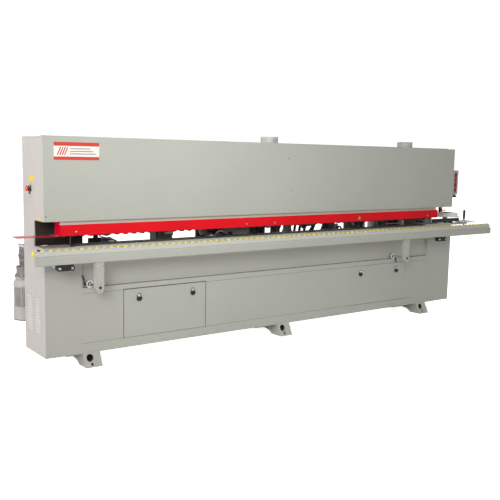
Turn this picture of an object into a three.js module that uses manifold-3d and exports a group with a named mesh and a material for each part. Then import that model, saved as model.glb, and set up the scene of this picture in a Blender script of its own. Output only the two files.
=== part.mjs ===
// Automatic edge banding machine: a long sheet-metal base with a feed chain, a hood with a lifting
// front door, a height-adjustable pressure beam, a pull-out roller support and the working units.
// Millimetres, +Z up. x runs along the feed from the outfeed end (left) to the infeed end (right),
// y runs from the operator's side to the back, z from the floor.
import * as THREE from 'three';
import { mergeVertices } from 'three/addons/utils/BufferGeometryUtils.js';
import Module from 'manifold-3d';

const wasm = await Module();
wasm.setup();

// ---------------------------------------------------------------- driving dimensions
const LENGTH = 4370; // body, end plate to end plate
const DEPTH = 400; // body, front plane to back plane
const FOOT_H = 100; // floor to the underside of the base
const ROOF_Z = 1660;
const TABLE_Z = 900; // working plane: top of the feed chain
const DECK_Z = 800; // plate that carries the working units
const RAIL_Z = 878; // beds on both sides of the chain
const FRONT_RAIL_Z = 888; // top of the rail in front of the chain
const END_PLATE_Z = 875; // top of the base's end plates
const HOOD_Z = 1070; // lower edge of the hood
const SHEET = 8; // end plates, deck, roof
const FRONT_WALL = 28; // front frame members of the base
const NOTCH_DEPTH = 190; // workpiece passage in the end panels, from the front plane
const GAP = 0.3; // between pieces that rest on each other

const COLUMN = { inset: 12, width: 40, y0: 250, y1: 380 }; // posts that carry the hood
const RECESS = { x0: 282, x1: 4010, z0: 583, depth: 20 }; // stepped-back band of the front panel
const BEDS = { outfeedEnd: 240, infeedStart: 3972, trenchX0: 206, trenchX1: 4300 }; // plates beside the chain
const LOUVRE = { columns: [85, 237], width: 95, z0: 262, rows: 12, pitch: 21.5, height: 8 };
const REAR_DOOR = { x0: 1500, x1: 2300, z0: 200, z1: 700, lap: 30, thick: 11.5 };

const CHAIN = { y0: 33, y1: 93, outerR: 135, innerR: 108, leftX: 290, rightX: 4220 };
const CHAIN_Z = TABLE_Z - CHAIN.outerR; // sprocket axes
const TRENCH = { y0: FRONT_WALL, y1: 98, wall: 8 };

const BEAM = { x0: -140, x1: 4777, y0: -195, y1: -145, z0: 793, z1: 857, wall: 5 };
const ROLLER = { r: 13, pitch: 56, firstX: -75, count: 87, y0: -181, y1: -159 };
const SUPPORT_ROD = { r: 12, z: 612, xs: [330, 3500], y0: -184, y1: 340 };
const GUIDE_ROD = { r: 13, z: 767, inset: 23, spacing: 90, y0: -190, y1: 350 };
const GUIDE_BLOCK = { xs: [15, 3948], width: 130, y0: -186, y1: -140, height: 54.7 };

const PRESSURE = { x0: 124, x1: 4146, coverZ0: 967, coverZ1: 1045 };
const WHEEL = { r: 30, pitch: 70, firstX: 160, count: 57, z: 983, y0: 40, y1: 84 };
const DOORS = { small: [610, 1335], large: [2950, 3690] };
const DOOR = { z0: 172, z1: 541, thick: 20, gap: 3, stop: 18 };
const LATCHES = { small: [736, 1213], large: [3076, 3564] };
const LATCH_Z = 475;
const FEET_X = [347, 2152, 3950];
const MOTOR = { x: 57, y: 520 };
const PORTS_X = [2106, 3830];
const PANEL = { x0: 4376, x1: 4446, y1: 200, z0: 1200, z1: 1446, pivotX: 4411, pivotY: 12 };
const BUTTONS = { start: [150, 1250], stop: [100, 1250] };

// the whole machine spans guard tip to handwheel rim and roller beam to motor
const SPAN_X = [-190, 4917];
const SPAN_Y = [BEAM.y0, MOTOR.y + 100];

const machine = new THREE.Group();
machine.position.set(-(SPAN_X[0] + SPAN_X[1]) / 2, -(SPAN_Y[0] + SPAN_Y[1]) / 2, 0);

// ---------------------------------------------------------------- finishes
const finish = (color, roughness, metalness) => new THREE.MeshStandardMaterial({ color, roughness, metalness });
const GREY = [0xbfc1b6, 0.5, 0.0];
const RED = [0xdc1e24, 0.45, 0.0];
const BLACK = [0x1c1b1a, 0.55, 0.0];
const STEEL = [0x9a9a98, 0.35, 1.0];
const CHROME = [0xd8dadc, 0.12, 1.0];
const YELLOW = [0xf0cf35, 0.4, 0.0];
const DARK_STEEL = [0x4c4b48, 0.5, 0.8];
const ALUMINIUM = [0xb4b6b6, 0.4, 0.9];
const WHITE = [0xe8e8e4, 0.5, 0.0];

// ---------------------------------------------------------------- solid helpers
function toSolid(geometry) {
  const plain = geometry.index ? geometry.toNonIndexed() : geometry.clone();
  plain.deleteAttribute('normal');
  plain.deleteAttribute('uv');
  const merged = mergeVertices(plain, 1e-3);
  return new wasm.Manifold(new wasm.Mesh({
    numProp: 3,
    vertProperties: new Float32Array(merged.attributes.position.array),
    triVerts: new Uint32Array(merged.index.array),
  }));
}

function toGeometry(solid) {
  const mesh = solid.getMesh();
  const geometry = new THREE.BufferGeometry();
  geometry.setAttribute('position', new THREE.BufferAttribute(mesh.vertProperties, 3));
  geometry.setIndex(new THREE.BufferAttribute(mesh.triVerts, 1));
  return geometry;
}

const join = (...geometries) => toGeometry(geometries.map(toSolid).reduce((sum, next) => sum.add(next)));
const cut = (body, ...tools) =>
  toGeometry(tools.map(toSolid).reduce((rest, tool) => rest.subtract(tool), toSolid(body)));

function box(x0, x1, y0, y1, z0, z1) {
  const geometry = new THREE.BoxGeometry(x1 - x0, y1 - y0, z1 - z0);
  return geometry.translate((x0 + x1) / 2, (y0 + y1) / 2, (z0 + z1) / 2);
}

// cylinders named by the axis they run along; a and b are the two fixed coordinates
function rodX(x0, x1, y, z, r, sides = 14) {
  return new THREE.CylinderGeometry(r, r, x1 - x0, sides).rotateZ(Math.PI / 2).translate((x0 + x1) / 2, y, z);
}

function rodY(y0, y1, x, z, r, sides = 14) {
  return new THREE.CylinderGeometry(r, r, y1 - y0, sides).translate(x, (y0 + y1) / 2, z);
}

function rodZ(z0, z1, x, y, r, sides = 14) {
  return new THREE.CylinderGeometry(r, r, z1 - z0, sides).rotateX(Math.PI / 2).translate(x, y, (z0 + z1) / 2);
}

// a profile drawn in (y, z), extruded along x
function extrudeX(shape, x0, x1, curveSegments = 8) {
  const geometry = new THREE.ExtrudeGeometry(shape, { depth: x1 - x0, bevelEnabled: false, curveSegments });
  return geometry.applyMatrix4(new THREE.Matrix4().set(0, 0, 1, x0, 1, 0, 0, 0, 0, 1, 0, 0, 0, 0, 0, 1));
}

// a profile drawn in (x, z), extruded along y
function extrudeY(shape, y0, y1, curveSegments = 8) {
  const geometry = new THREE.ExtrudeGeometry(shape, { depth: y1 - y0, bevelEnabled: false, curveSegments });
  return geometry.rotateX(Math.PI / 2).translate(0, y1, 0);
}

// a profile drawn in (x, y), extruded along z
function extrudeZ(shape, z0, z1, curveSegments = 8) {
  const geometry = new THREE.ExtrudeGeometry(shape, { depth: z1 - z0, bevelEnabled: false, curveSegments });
  return geometry.translate(0, 0, z0);
}

const polygon = (points) => new THREE.Shape(points.map(([a, b]) => new THREE.Vector2(a, b)));

// a profile of (radius, height) points, turned about a vertical axis
function turned(points, x, y, segments = 28) {
  const profile = points.map(([r, z]) => new THREE.Vector2(r, z));
  return new THREE.LatheGeometry(profile, segments).rotateX(Math.PI / 2).translate(x, y, 0);
}

function piece(name, geometry, look) {
  const mesh = new THREE.Mesh(geometry, finish(...look));
  mesh.name = name;
  machine.add(mesh);
}

// ---------------------------------------------------------------- base
function doorOpening([x0, x1]) {
  const { z0, z1, thick, gap, stop } = DOOR;
  return [
    box(x0 - gap, x1 + gap, -1, thick + GAP, z0 - gap, z1 + gap),
    box(x0 + stop, x1 - stop, thick, FRONT_WALL + 1, z0 + stop, z1 - stop),
  ];
}

function louvres() {
  const { columns, width, z0, rows, pitch, height } = LOUVRE;
  const slots = [];
  for (const y0 of columns) {
    for (let row = 0; row < rows; row += 1) {
      const z = z0 + row * pitch;
      slots.push(box(-1, SHEET + 1, y0, y0 + width, z, z + height));
    }
  }
  return slots;
}

// clearance holes in the front for the rods of the roller support
function rodHoles() {
  const hole = (x, { z, r }) => rodY(-1, FRONT_WALL + 1, x, z, r + 0.5);
  const guides = GUIDE_BLOCK.xs.flatMap((x0) =>
    [0, GUIDE_ROD.spacing].map((step) => hole(x0 + GUIDE_ROD.inset + step, GUIDE_ROD)));
  return [...guides, ...SUPPORT_ROD.xs.map((x) => hole(x, SUPPORT_ROD))];
}

function baseCabinet() {
  const left = SHEET;
  const right = LENGTH - SHEET;
  const back = DEPTH - SHEET;
  const bedBack = NOTCH_DEPTH - 2;
  const bedZ = RAIL_Z + 7;
  const { outfeedEnd, infeedStart, trenchX0, trenchX1 } = BEDS;
  const column = (x0) => box(x0, x0 + COLUMN.width, COLUMN.y0, COLUMN.y1, DECK_Z - 1, ROOF_Z - 15);
  const door = REAR_DOOR;
  const shell = cut(
    join(
      box(0, LENGTH, 0, DEPTH, FOOT_H, DECK_Z),
      box(0, LENGTH, 0, TRENCH.y1 + TRENCH.wall, DECK_Z - 1, RAIL_Z),
      box(0, left, 0, DEPTH, DECK_Z - 1, END_PLATE_Z),
      box(right, LENGTH, 0, DEPTH, DECK_Z - 1, END_PLATE_Z),
      column(COLUMN.inset),
      column(LENGTH - COLUMN.inset - COLUMN.width),
      box(0, outfeedEnd, 0, bedBack, RAIL_Z - 1, bedZ),
      box(outfeedEnd - 1, infeedStart + 1, 0, FRONT_WALL, RAIL_Z - 1, FRONT_RAIL_Z),
      box(infeedStart, LENGTH, 0, FRONT_WALL, RAIL_Z - 1, TABLE_Z - 1),
      box(infeedStart, LENGTH, TRENCH.y1, bedBack, RAIL_Z - 1, TABLE_Z - 1),
      box(trenchX1, LENGTH, 0, bedBack, RAIL_Z - 1, bedZ),
    ),
    box(left, right, FRONT_WALL, back, FOOT_H + SHEET, DECK_Z - SHEET),
    box(left, right, TRENCH.y0, TRENCH.y1, DECK_Z - SHEET - 1, RAIL_Z - 1),
    box(trenchX0, trenchX1, TRENCH.y0, TRENCH.y1, RAIL_Z - 2, TABLE_Z + 1),
    box(RECESS.x0, RECESS.x1, -1, RECESS.depth, RECESS.z0, DECK_Z),
    ...doorOpening(DOORS.small),
    ...doorOpening(DOORS.large),
    ...rodHoles(),
    rodY(back - 1, DEPTH + 1, CHAIN.leftX, CHAIN_Z, 20),
    box(door.x0 + door.lap, door.x1 - door.lap, back - 1, DEPTH + 1, door.z0 + door.lap, door.z1 - door.lap),
    box(-1, left + 1, 32, 140, 846, 868),
    ...louvres(),
  );
  const trackZ = TABLE_Z - (CHAIN.outerR - CHAIN.innerR) - GAP;
  const track = box(CHAIN.leftX + 120, CHAIN.rightX - 120, TRENCH.y0 - 1, TRENCH.y1 + 1, trackZ - 26.7, trackZ);
  return join(shell, track);
}

// a cross-member with splayed toes; each toe has a transport hole and a smaller anchor hole
function foot(x) {
  const toe = 53;
  const heel = 78;
  const crownZ = 36;
  const halfWidth = 65;
  const profile = new THREE.Shape();
  profile.moveTo(0, FOOT_H - GAP);
  profile.lineTo(-toe, 0);
  profile.lineTo(heel, 0);
  profile.quadraticCurveTo(100, 34, 180, crownZ);
  profile.lineTo(DEPTH - 180, crownZ);
  profile.quadraticCurveTo(DEPTH - 100, 34, DEPTH - heel, 0);
  profile.lineTo(DEPTH + toe, 0);
  profile.lineTo(DEPTH, FOOT_H - GAP);
  const holes = [0, DEPTH].flatMap((y) => [
    rodY(y - 60, y + 60, x - 20, 64, 28, 18),
    rodY(y - 60, y + 60, x - 12, 21, 11, 12),
  ]);
  return cut(extrudeX(profile, x - halfWidth, x + halfWidth, 3), ...holes);
}

function frontDoor([x0, x1]) {
  const { z0, z1, thick } = DOOR;
  const rim = 6;
  const tray = box(x0, x1, 0, thick, z0, z1);
  return cut(tray, box(x0 + rim, x1 - rim, 4, thick + 1, z0 + rim, z1 - rim));
}

function latch(x) {
  const wing = new THREE.Shape();
  wing.absellipse(x, LATCH_Z, 8, 24, 0, 2 * Math.PI);
  return join(
    rodY(-8, -GAP, x, LATCH_Z, 26, 16),
    extrudeY(wing, -20, -7, 4),
  );
}

function rearDoor() {
  const { x0, x1, z0, z1, thick } = REAR_DOOR;
  const face = DEPTH + 0.5 + thick;
  const tray = box(x0, x1, DEPTH + 0.5, face, z0, z1);
  const handle = rodY(face - 1, face + 10, x1 - 38, (z0 + z1) / 2, 16, 14);
  return join(tray, handle);
}

// ---------------------------------------------------------------- hood
function hoodEndLeft() {
  return extrudeX(polygon([
    [NOTCH_DEPTH, END_PLATE_Z + GAP], [DEPTH, END_PLATE_Z + GAP], [DEPTH, ROOF_Z - SHEET - GAP],
    [23, ROOF_Z - SHEET - GAP], [23, HOOD_Z], [NOTCH_DEPTH, HOOD_Z],
  ]), 0, SHEET);
}

// the right end plate carries the welded bracket that the control box swings on
function hoodEndRight() {
  const { z0, pivotX, pivotY } = PANEL;
  return join(
    box(LENGTH - SHEET, LENGTH, 23, DEPTH, HOOD_Z, ROOF_Z - SHEET - GAP),
    box(LENGTH - 1, pivotX + 20, pivotY + 11, pivotY + 28, z0 - 8, z0 - GAP),
    box(LENGTH + 1, pivotX + 20, pivotY - 12, pivotY + 12, z0 - 8, z0 - GAP),
  );
}

function hoodRoof() {
  const under = ROOF_Z - SHEET;
  const innerR = 71;
  const spigots = PORTS_X.map((x) => rodZ(under, ROOF_Z + 60, x, 200, 75, 24));
  const bores = PORTS_X.map((x) => rodZ(under - 1, ROOF_Z + 61, x, 200, innerR, 24));
  const vents = [];
  for (let x = 300; x < LENGTH - 400; x += 1160) {
    for (let row = 0; row < 4; row += 1) {
      vents.push(box(x, x + 320, DEPTH - SHEET - 1, DEPTH + 1, 1470 + row * 24, 1479 + row * 24));
    }
  }
  return cut(
    join(
      box(0, LENGTH, 78, DEPTH, under, ROOF_Z),
      rodX(20, LENGTH - 20, 76, ROOF_Z + 2, 4, 12),
      box(SHEET + GAP, LENGTH - SHEET - GAP, DEPTH - SHEET, DEPTH, 1120, under + 1),
      ...spigots,
    ),
    ...bores,
    ...vents,
  );
}

function hoodDoor() {
  const depth = 22;
  const rim = 6;
  return join(
    cut(
      box(0, LENGTH, 0, depth, HOOD_Z, ROOF_Z),
      box(rim, LENGTH - rim, 5, depth + 1, HOOD_Z + rim, ROOF_Z - SHEET),
    ),
    box(0, LENGTH, depth - 1, 70.5, ROOF_Z - SHEET, ROOF_Z),
  );
}

// ---------------------------------------------------------------- feed
function stadium(radius) {
  const outline = new THREE.Shape();
  outline.absarc(CHAIN.rightX, CHAIN_Z, radius, -Math.PI / 2, Math.PI / 2, false);
  outline.absarc(CHAIN.leftX, CHAIN_Z, radius, Math.PI / 2, 1.5 * Math.PI, false);
  return outline;
}

function feedChain() {
  const loop = stadium(CHAIN.outerR);
  loop.holes.push(new THREE.Path(stadium(CHAIN.innerR).getPoints(7)));
  return extrudeY(loop, CHAIN.y0, CHAIN.y1, 7);
}

function toothedWheel(x, teeth, rootR, tipR) {
  const outline = new THREE.Shape();
  const step = (2 * Math.PI) / teeth;
  for (let tooth = 0; tooth < teeth; tooth += 1) {
    [[0, rootR], [0.3, rootR], [0.45, tipR], [0.8, tipR]].forEach(([share, r], corner) => {
      const angle = (tooth + share) * step;
      const point = [x + r * Math.cos(angle), CHAIN_Z + r * Math.sin(angle)];
      if (tooth + corner === 0) outline.moveTo(...point);
      else outline.lineTo(...point);
    });
  }
  return outline;
}

function sprocket(x, shaftEnd) {
  return join(
    extrudeY(toothedWheel(x, 12, 96, CHAIN.innerR - 1), 52, 74),
    rodY(44, 88, x, CHAIN_Z, 34, 14),
    rodY(40, shaftEnd, x, CHAIN_Z, 15, 16),
  );
}

function gearbox() {
  const { x, y } = MOTOR;
  return join(
    box(18, 140, 432, 576, 692, 848),
    box(60, 350, DEPTH + 2, 433, 690, 840),
    box(12, 146, 428, 582, 847, 857),
    rodZ(856, 896, 36, 470, 11, 16),
    turned([[0, 619], [72, 619], [80, 693], [0, 693]], x, y, 24),
  );
}

function driveMotor() {
  const { x, y } = MOTOR;
  const body = turned([
    [0, 382], [92, 382], [92, 300], [62, 300], [62, 290], [88, 290], [98, 300], [98, 395],
    [94, 396], [94, 540], [96, 541], [96, 575], [78, 606], [100, 606], [100, 618.5], [0, 618.5],
  ], x, y, 22);
  const terminalBox = box(x + 80, x + 138, y - 36, y + 36, 440, 520);
  return join(body, terminalBox);
}

function motorFan() {
  const { x, y } = MOTOR;
  const outline = new THREE.Shape();
  const blades = 8;
  for (let blade = 0; blade < blades; blade += 1) {
    [[0, 30], [0.12, 84], [0.3, 84], [0.42, 30]].forEach(([share, r], corner) => {
      const angle = ((blade + share) * 2 * Math.PI) / blades;
      const point = [x + r * Math.cos(angle), y + r * Math.sin(angle)];
      if (blade + corner === 0) outline.moveTo(...point);
      else outline.lineTo(...point);
    });
  }
  return join(extrudeZ(outline, 322, 362), rodZ(318, 378, x, y, 32, 14));
}

// ---------------------------------------------------------------- pressure beam
function pressureBeam() {
  const { x0, x1 } = PRESSURE;
  return join(
    box(60, 4310, 60, 165, 1080, 1140),
    box(x0 + 3, x1 - 3, 34, 100, 1014, 1081),
    box(x0 + 1, x1, 24, 30, 1036, 1081),
    box(x0 + 1, x1, 29, 61, 1074, 1081),
    box(60, 104, 164, 249, 1080, 1140),
    box(4266, 4310, 164, 249, 1080, 1140),
  );
}

function pressureCover() {
  const { x0, x1, coverZ0, coverZ1 } = PRESSURE;
  const endCap = polygon([
    [0, coverZ0], [105, coverZ0], [105, HOOD_Z - 2], [24, HOOD_Z - 2], [24, coverZ1], [0, coverZ1],
  ]);
  return join(box(x0 - 1, x1, 0, 5, coverZ0, coverZ1), extrudeX(endCap, x0 - 6, x0));
}

// a bar with a row of round discs showing on one side of it, as one outline in (x, z)
function discRow({ x0, x1, barFar, barNear, centreZ, r, pitch, firstX, count }) {
  const reach = barNear - centreZ;
  const half = Math.sqrt(r * r - reach * reach);
  const start = Math.atan2(reach, -half);
  const end = Math.atan2(reach, half);
  const below = barNear < barFar;
  const outline = new THREE.Shape();
  outline.moveTo(x0, barFar);
  outline.lineTo(x0, barNear);
  for (let disc = 0; disc < count; disc += 1) {
    outline.absarc(firstX + disc * pitch, centreZ, r, start, end, !below);
  }
  outline.lineTo(x1, barNear);
  outline.lineTo(x1, barFar);
  return outline;
}

const pressureWheels = () => extrudeY(discRow({
  x0: PRESSURE.x0 + 4, x1: PRESSURE.x1 - 4, barFar: 1014 - GAP, barNear: WHEEL.z + 10, centreZ: WHEEL.z,
  r: WHEEL.r, pitch: WHEEL.pitch, firstX: WHEEL.firstX, count: WHEEL.count,
}), WHEEL.y0, WHEEL.y1, 3);

const outfeedGuard = () => box(SPAN_X[0], 116, -8, 110, 966, 970);

// ---------------------------------------------------------------- roller support
function rollerBeam() {
  const { x0, x1, y0, y1, z0, z1, wall } = BEAM;
  const profile = new THREE.Shape();
  profile.moveTo(y0, z0);
  profile.lineTo(y1, z0);
  profile.lineTo(y1, z1);
  profile.lineTo(y0 + 12, z1);
  profile.absarc(y0 + 12, z1 - 12, 12, Math.PI / 2, Math.PI, false);
  return cut(extrudeX(profile, x0, x1, 6), box(x0 + wall, x1 + 1, y0 + wall, y1 - wall, z0 + wall, z1 - wall));
}

function supportRollers() {
  const row = extrudeY(discRow({
    x0: -138, x1: BEAM.x1 - 10, barFar: BEAM.z1 + GAP, barNear: 888, centreZ: TABLE_Z - ROLLER.r,
    r: ROLLER.r, pitch: ROLLER.pitch, firstX: ROLLER.firstX, count: ROLLER.count,
  }), ROLLER.y0, ROLLER.y1, 3);
  const endBall = new THREE.SphereGeometry(15, 12, 8).translate(-138, -170, 875);
  return join(row, endBall);
}

function supportBracket(x) {
  const { r, z, y0, y1 } = SUPPORT_ROD;
  const halfWidth = 31;
  const top = BEAM.z0 - GAP;
  const plate = new THREE.Shape();
  plate.moveTo(x - halfWidth, top);
  plate.lineTo(x - halfWidth, 602);
  plate.absarc(x, 602, halfWidth, Math.PI, 2 * Math.PI, false);
  plate.lineTo(x + halfWidth, top);
  const flange = (x0) => extrudeX(polygon([
    [y0 - 1, top], [y0 - 1, 604], [y0 + 20, 604], [y0 + 36, 700], [y0 + 36, top],
  ]), x0, x0 + 5);
  return join(
    extrudeY(plate, y0 - 6, y0, 8),
    flange(x - halfWidth),
    flange(x + halfWidth - 5),
    rodY(y0 - 1, y1, x, z, r, 14),
  );
}

function guideBlock(x0) {
  const { width, y0, y1, height } = GUIDE_BLOCK;
  const rod = GUIDE_ROD;
  return join(
    box(x0, x0 + width, y0, y1, BEAM.z0 - GAP - height, BEAM.z0 - GAP),
    rodY(rod.y0, rod.y1, x0 + rod.inset, rod.z, rod.r, 14),
    rodY(rod.y0, rod.y1, x0 + rod.inset + rod.spacing, rod.z, rod.r, 14),
  );
}

function clampCollar(x) {
  const { r, z } = SUPPORT_ROD;
  return cut(
    join(rodY(-15, -GAP, x, z, 27, 16), rodY(-1, 19.7, x, z, 22, 16)),
    rodY(-16, 21, x, z, r + 0.4, 14),
  );
}

// side is -1 for a hub to the left of its collar, 1 to the right; rise is the arm's direction in z
function clampLever(x, side, rise) {
  const hubNear = x + side * 27.5;
  const hubFar = x + side * 44;
  const z = SUPPORT_ROD.z;
  const arm = polygon([
    [hubNear + side * 5, z], [hubFar, z], [hubFar + side * 16, z + rise * 64], [hubFar + side * 4, z + rise * 66],
  ]);
  return join(
    rodX(Math.min(hubNear, hubFar), Math.max(hubNear, hubFar), -8, z, 8.5, 16),
    extrudeY(arm, -13, -3),
  );
}

// ---------------------------------------------------------------- controls
const EMERGENCY = { y: 251, z: 1294, halfWidth: 22, halfHeight: 28, baseX: -16, headX: [-44, -30] };

function emergencyBase() {
  const { y, z, halfWidth, halfHeight, baseX } = EMERGENCY;
  return cut(
    box(baseX, -GAP, y - halfWidth, y + halfWidth, z - halfHeight, z + halfHeight),
    rodX(baseX - 1, -4, y, z, 9.5, 14),
  );
}

function emergencyButton() {
  const { y, z, headX } = EMERGENCY;
  return join(rodX(headX[0] + 1, -12, y, z, 9, 14), rodX(...headX, y, z, 20, 24));
}

function controlBox() {
  const { x0, x1, y1, z0, z1 } = PANEL;
  const wells = Object.values(BUTTONS).map(([y, z]) => rodX(x1 - 12, x1 + 1, y, z, 12.5, 14));
  return cut(box(x0, x1, 0, y1, z0, z1), ...wells);
}

function panelKnob() {
  const { z0, pivotX, pivotY } = PANEL;
  return rodZ(z0 - 32, z0 - 8.5, pivotX, pivotY, 24, 14);
}

const pushButton = ([y, z]) => rodX(PANEL.x1 - 7, PANEL.x1 + 6, y, z, 12, 14);

const infeedSwitch = () => box(4250, 4275, 48, 78, 1030, 1080 - GAP);

const switchLever = () => join(
  rodY(38, 47.5, 4262, 1040, 8, 16),
  extrudeY(polygon([[4257, 1040], [4267, 1040], [4334, 1019], [4332, 1013], [4262, 1024]]), 40, 45),
);

// ---------------------------------------------------------------- infeed
const FENCE_Z0 = TABLE_Z + 1;

const infeedFence = () => join(
  box(4225, 4648, 118, 140, FENCE_Z0, FENCE_Z0 + 35),
  box(4400, 4620, 139, 200, FENCE_Z0, FENCE_Z0 + 8),
  ...[4440, 4560].map((x) => box(x, x + 30, 155, 195, 882 + GAP, FENCE_Z0 + 1)),
);

const REEL = { x: 4600, y: 270, r: 155 };
const HANDWHEEL = { x: 4800, y: 172, r: 117 };

function tapeTable() {
  return join(
    box(LENGTH + GAP, LENGTH + 16, 150, 360, 640, 882),
    box(LENGTH + GAP, 4660, 150, 330, 862, 882),
    box(4659, 4830, 150, 194, 862, 882),
    rodZ(881, 944, REEL.x, REEL.y, 26, 14),
  );
}

function tapeReel() {
  const { x, y, r } = REEL;
  return turned([[0, 944.5], [r, 944.5], [r, 950], [r - 22, 950], [r - 22, 985], [30, 985], [30, 992], [0, 992]], x, y, 28);
}

function fenceHandwheel() {
  const { x, y, r } = HANDWHEEL;
  return join(
    turned([[0, 882.5], [24, 882.5], [24, 886], [r, 886], [r, 894], [26, 894], [26, 902], [0, 902]], x, y, 28),
    turned([[0, 893], [16, 893], [16, 904], [8, 906], [8, 912], [13, 916], [13, 1006], [9, 1011], [0, 1011]],
      x + 40, y + 30, 12),
  );
}

// ---------------------------------------------------------------- working units
const ON_DECK = DECK_Z + GAP;

// centres of the two buffing wheels and of the two trimming cutters, as [x, z]
const BUFF = { upper: [532, 985], lower: [585, 862], faceY: 172, backY: 318 };
const TRIM = { upper: [2100, 985], lower: [1552, 862], faceY: 176, backY: 330 };

// the dark plates behind the passage, and the two motors on their back plate
function buffingUnit() {
  const [y0, y1] = [NOTCH_DEPTH + 2, NOTCH_DEPTH + 7];
  const plateEnd = 368;
  const { upper, lower, faceY, backY } = BUFF;
  return join(
    box(SHEET + 1, plateEnd, y0, y1, END_PLATE_Z + 11, 1030),
    box(SHEET + 1, 56, y0, y1, 1029, HOOD_Z - 4),
    box(108, plateEnd, y0, y1, 1029, HOOD_Z - 4),
    box(100, plateEnd, y0, y1, ON_DECK + 11, END_PLATE_Z + 12),
    box(60, 680, y0, backY + 12, ON_DECK, ON_DECK + 12),
    box(470, 660, backY, backY + 12, ON_DECK + 11, 905),
    box(upper[0] - 18, upper[0] + 18, backY, backY + 12, 904, 1040),
    rodY(faceY, backY + 1, ...upper, 46, 24),
    rodY(faceY, backY + 1, ...lower, 44, 24),
  );
}

const buffingWheel = ([x, z]) => join(rodY(128, 160, x, z, 48, 20), rodY(120, BUFF.faceY - 0.5, x, z, 12, 10));

function scraperUnit() {
  return join(
    box(985, 1134, 190, 290, ON_DECK, 1060),
    box(1000, 1120, 150, 191, 915, 1000),
    box(1030, 1100, 124, 151, 930, 965),
    box(1040, 1104, 124, 191, 850, 884),
  );
}

function trimUnit() {
  const { upper, lower, faceY, backY } = TRIM;
  return join(
    box(1640, 1910, 200, backY, ON_DECK, 1180),
    box(1450, 2180, backY, backY + 20, ON_DECK, 1120),
    rodY(faceY, backY + 1, ...upper, 60, 24),
    rodY(faceY, backY + 1, ...lower, 56, 24),
  );
}

const trimCutter = ([x, z], r) => join(rodY(128, 158, x, z, r, 18), rodY(120, TRIM.faceY - 0.5, x, z, 11, 16));

const SAW = { railX0: 2380, railX1: 2920, railY: 270, railZs: [1090, 1160], railR: 11, x: 2500 };

function sawRails() {
  const { railX0, railX1, railY, railZs, railR } = SAW;
  return join(
    box(railX0, railX0 + 16, 220, 320, ON_DECK, 1190),
    box(railX1 - 16, railX1, 220, 320, ON_DECK, 1190),
    ...railZs.map((z) => rodX(railX0 + 15, railX1 - 15, railY, z, railR, 18)),
  );
}

function sawCarriage() {
  const { x, railY, railZs, railR } = SAW;
  return cut(
    join(
      box(x, x + 130, 240, 300, 1060, 1190),
      box(x + 20, x + 110, 180, 241, 990, 1120),
      rodX(x + 20, x + 125, 182, 965, 42, 20),
    ),
    ...railZs.map((z) => rodX(x - 1, x + 131, railY, z, railR + 0.4, 18)),
  );
}

const sawBlade = () => join(
  rodX(SAW.x + 6, SAW.x + 9, 182, 965, 62, 24),
  rodX(SAW.x + 2, SAW.x + 19.5, 182, 965, 14, 12),
);

function glueUnit() {
  return join(
    box(3850, 4050, 190, 370, ON_DECK, 1040),
    box(3060, 3860, 230, 260, ON_DECK, 860),
    box(3080, 3240, 190, 260, 859, 1000),
    box(3440, 3560, 180, 231, 846, 859),
    box(3440, 3560, 230, 250, 846, 1010),
    box(3440, 3560, 180, 231, 997, 1010),
    box(3800, 3851, 160, 240, 846, 859),
    box(3400, 3420, 180, 255, 859, 960),
  );
}

const verticalRoller = (x, y, r, z0, z1) => join(
  rodZ(z0 + 10, z1 - 10, x, y, r, 24),
  rodZ(z0, z1, x, y, 10, 16),
);

// ---------------------------------------------------------------- assembly
piece('base_cabinet', baseCabinet(), GREY);
['foot_left', 'foot_middle', 'foot_right'].forEach((name, i) => piece(name, foot(FEET_X[i]), GREY));
piece('front_door_left', frontDoor(DOORS.small), GREY);
piece('front_door_right', frontDoor(DOORS.large), GREY);
LATCHES.small.forEach((x, i) => piece(`latch_${i + 1}`, latch(x), BLACK));
LATCHES.large.forEach((x, i) => piece(`latch_${i + 3}`, latch(x), BLACK));
piece('rear_door', rearDoor(), GREY);

piece('hood_end_left', hoodEndLeft(), GREY);
piece('hood_end_right', hoodEndRight(), GREY);
piece('hood_roof', hoodRoof(), GREY);
piece('hood_door', hoodDoor(), GREY);

piece('feed_chain', feedChain(), BLACK);
piece('drive_sprocket', sprocket(CHAIN.leftX, DEPTH + 1.5), DARK_STEEL);
piece('idler_sprocket', sprocket(CHAIN.rightX, 150), DARK_STEEL);
piece('gearbox', gearbox(), ALUMINIUM);
piece('drive_motor', driveMotor(), DARK_STEEL);
piece('motor_fan', motorFan(), BLACK);

piece('pressure_beam', pressureBeam(), GREY);
piece('pressure_cover', pressureCover(), RED);
piece('pressure_wheels', pressureWheels(), BLACK);
piece('outfeed_guard', outfeedGuard(), RED);

piece('roller_beam', rollerBeam(), GREY);
piece('support_rollers', supportRollers(), YELLOW);
piece('support_bracket_left', supportBracket(SUPPORT_ROD.xs[0]), GREY);
piece('support_bracket_right', supportBracket(SUPPORT_ROD.xs[1]), GREY);
piece('guide_block_left', guideBlock(GUIDE_BLOCK.xs[0]), BLACK);
piece('guide_block_right', guideBlock(GUIDE_BLOCK.xs[1]), BLACK);
piece('clamp_collar_left', clampCollar(SUPPORT_ROD.xs[0]), CHROME);
piece('clamp_collar_right', clampCollar(SUPPORT_ROD.xs[1]), CHROME);
piece('clamp_lever_left', clampLever(SUPPORT_ROD.xs[0], -1, 1), BLACK);
piece('clamp_lever_right', clampLever(SUPPORT_ROD.xs[1], 1, -1), BLACK);

piece('emergency_base', emergencyBase(), YELLOW);
piece('emergency_button', emergencyButton(), RED);
piece('control_box', controlBox(), GREY);
piece('start_button', pushButton(BUTTONS.start), WHITE);
piece('stop_button', pushButton(BUTTONS.stop), RED);
piece('panel_knob', panelKnob(), BLACK);
piece('infeed_switch', infeedSwitch(), BLACK);
piece('switch_lever', switchLever(), RED);

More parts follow.
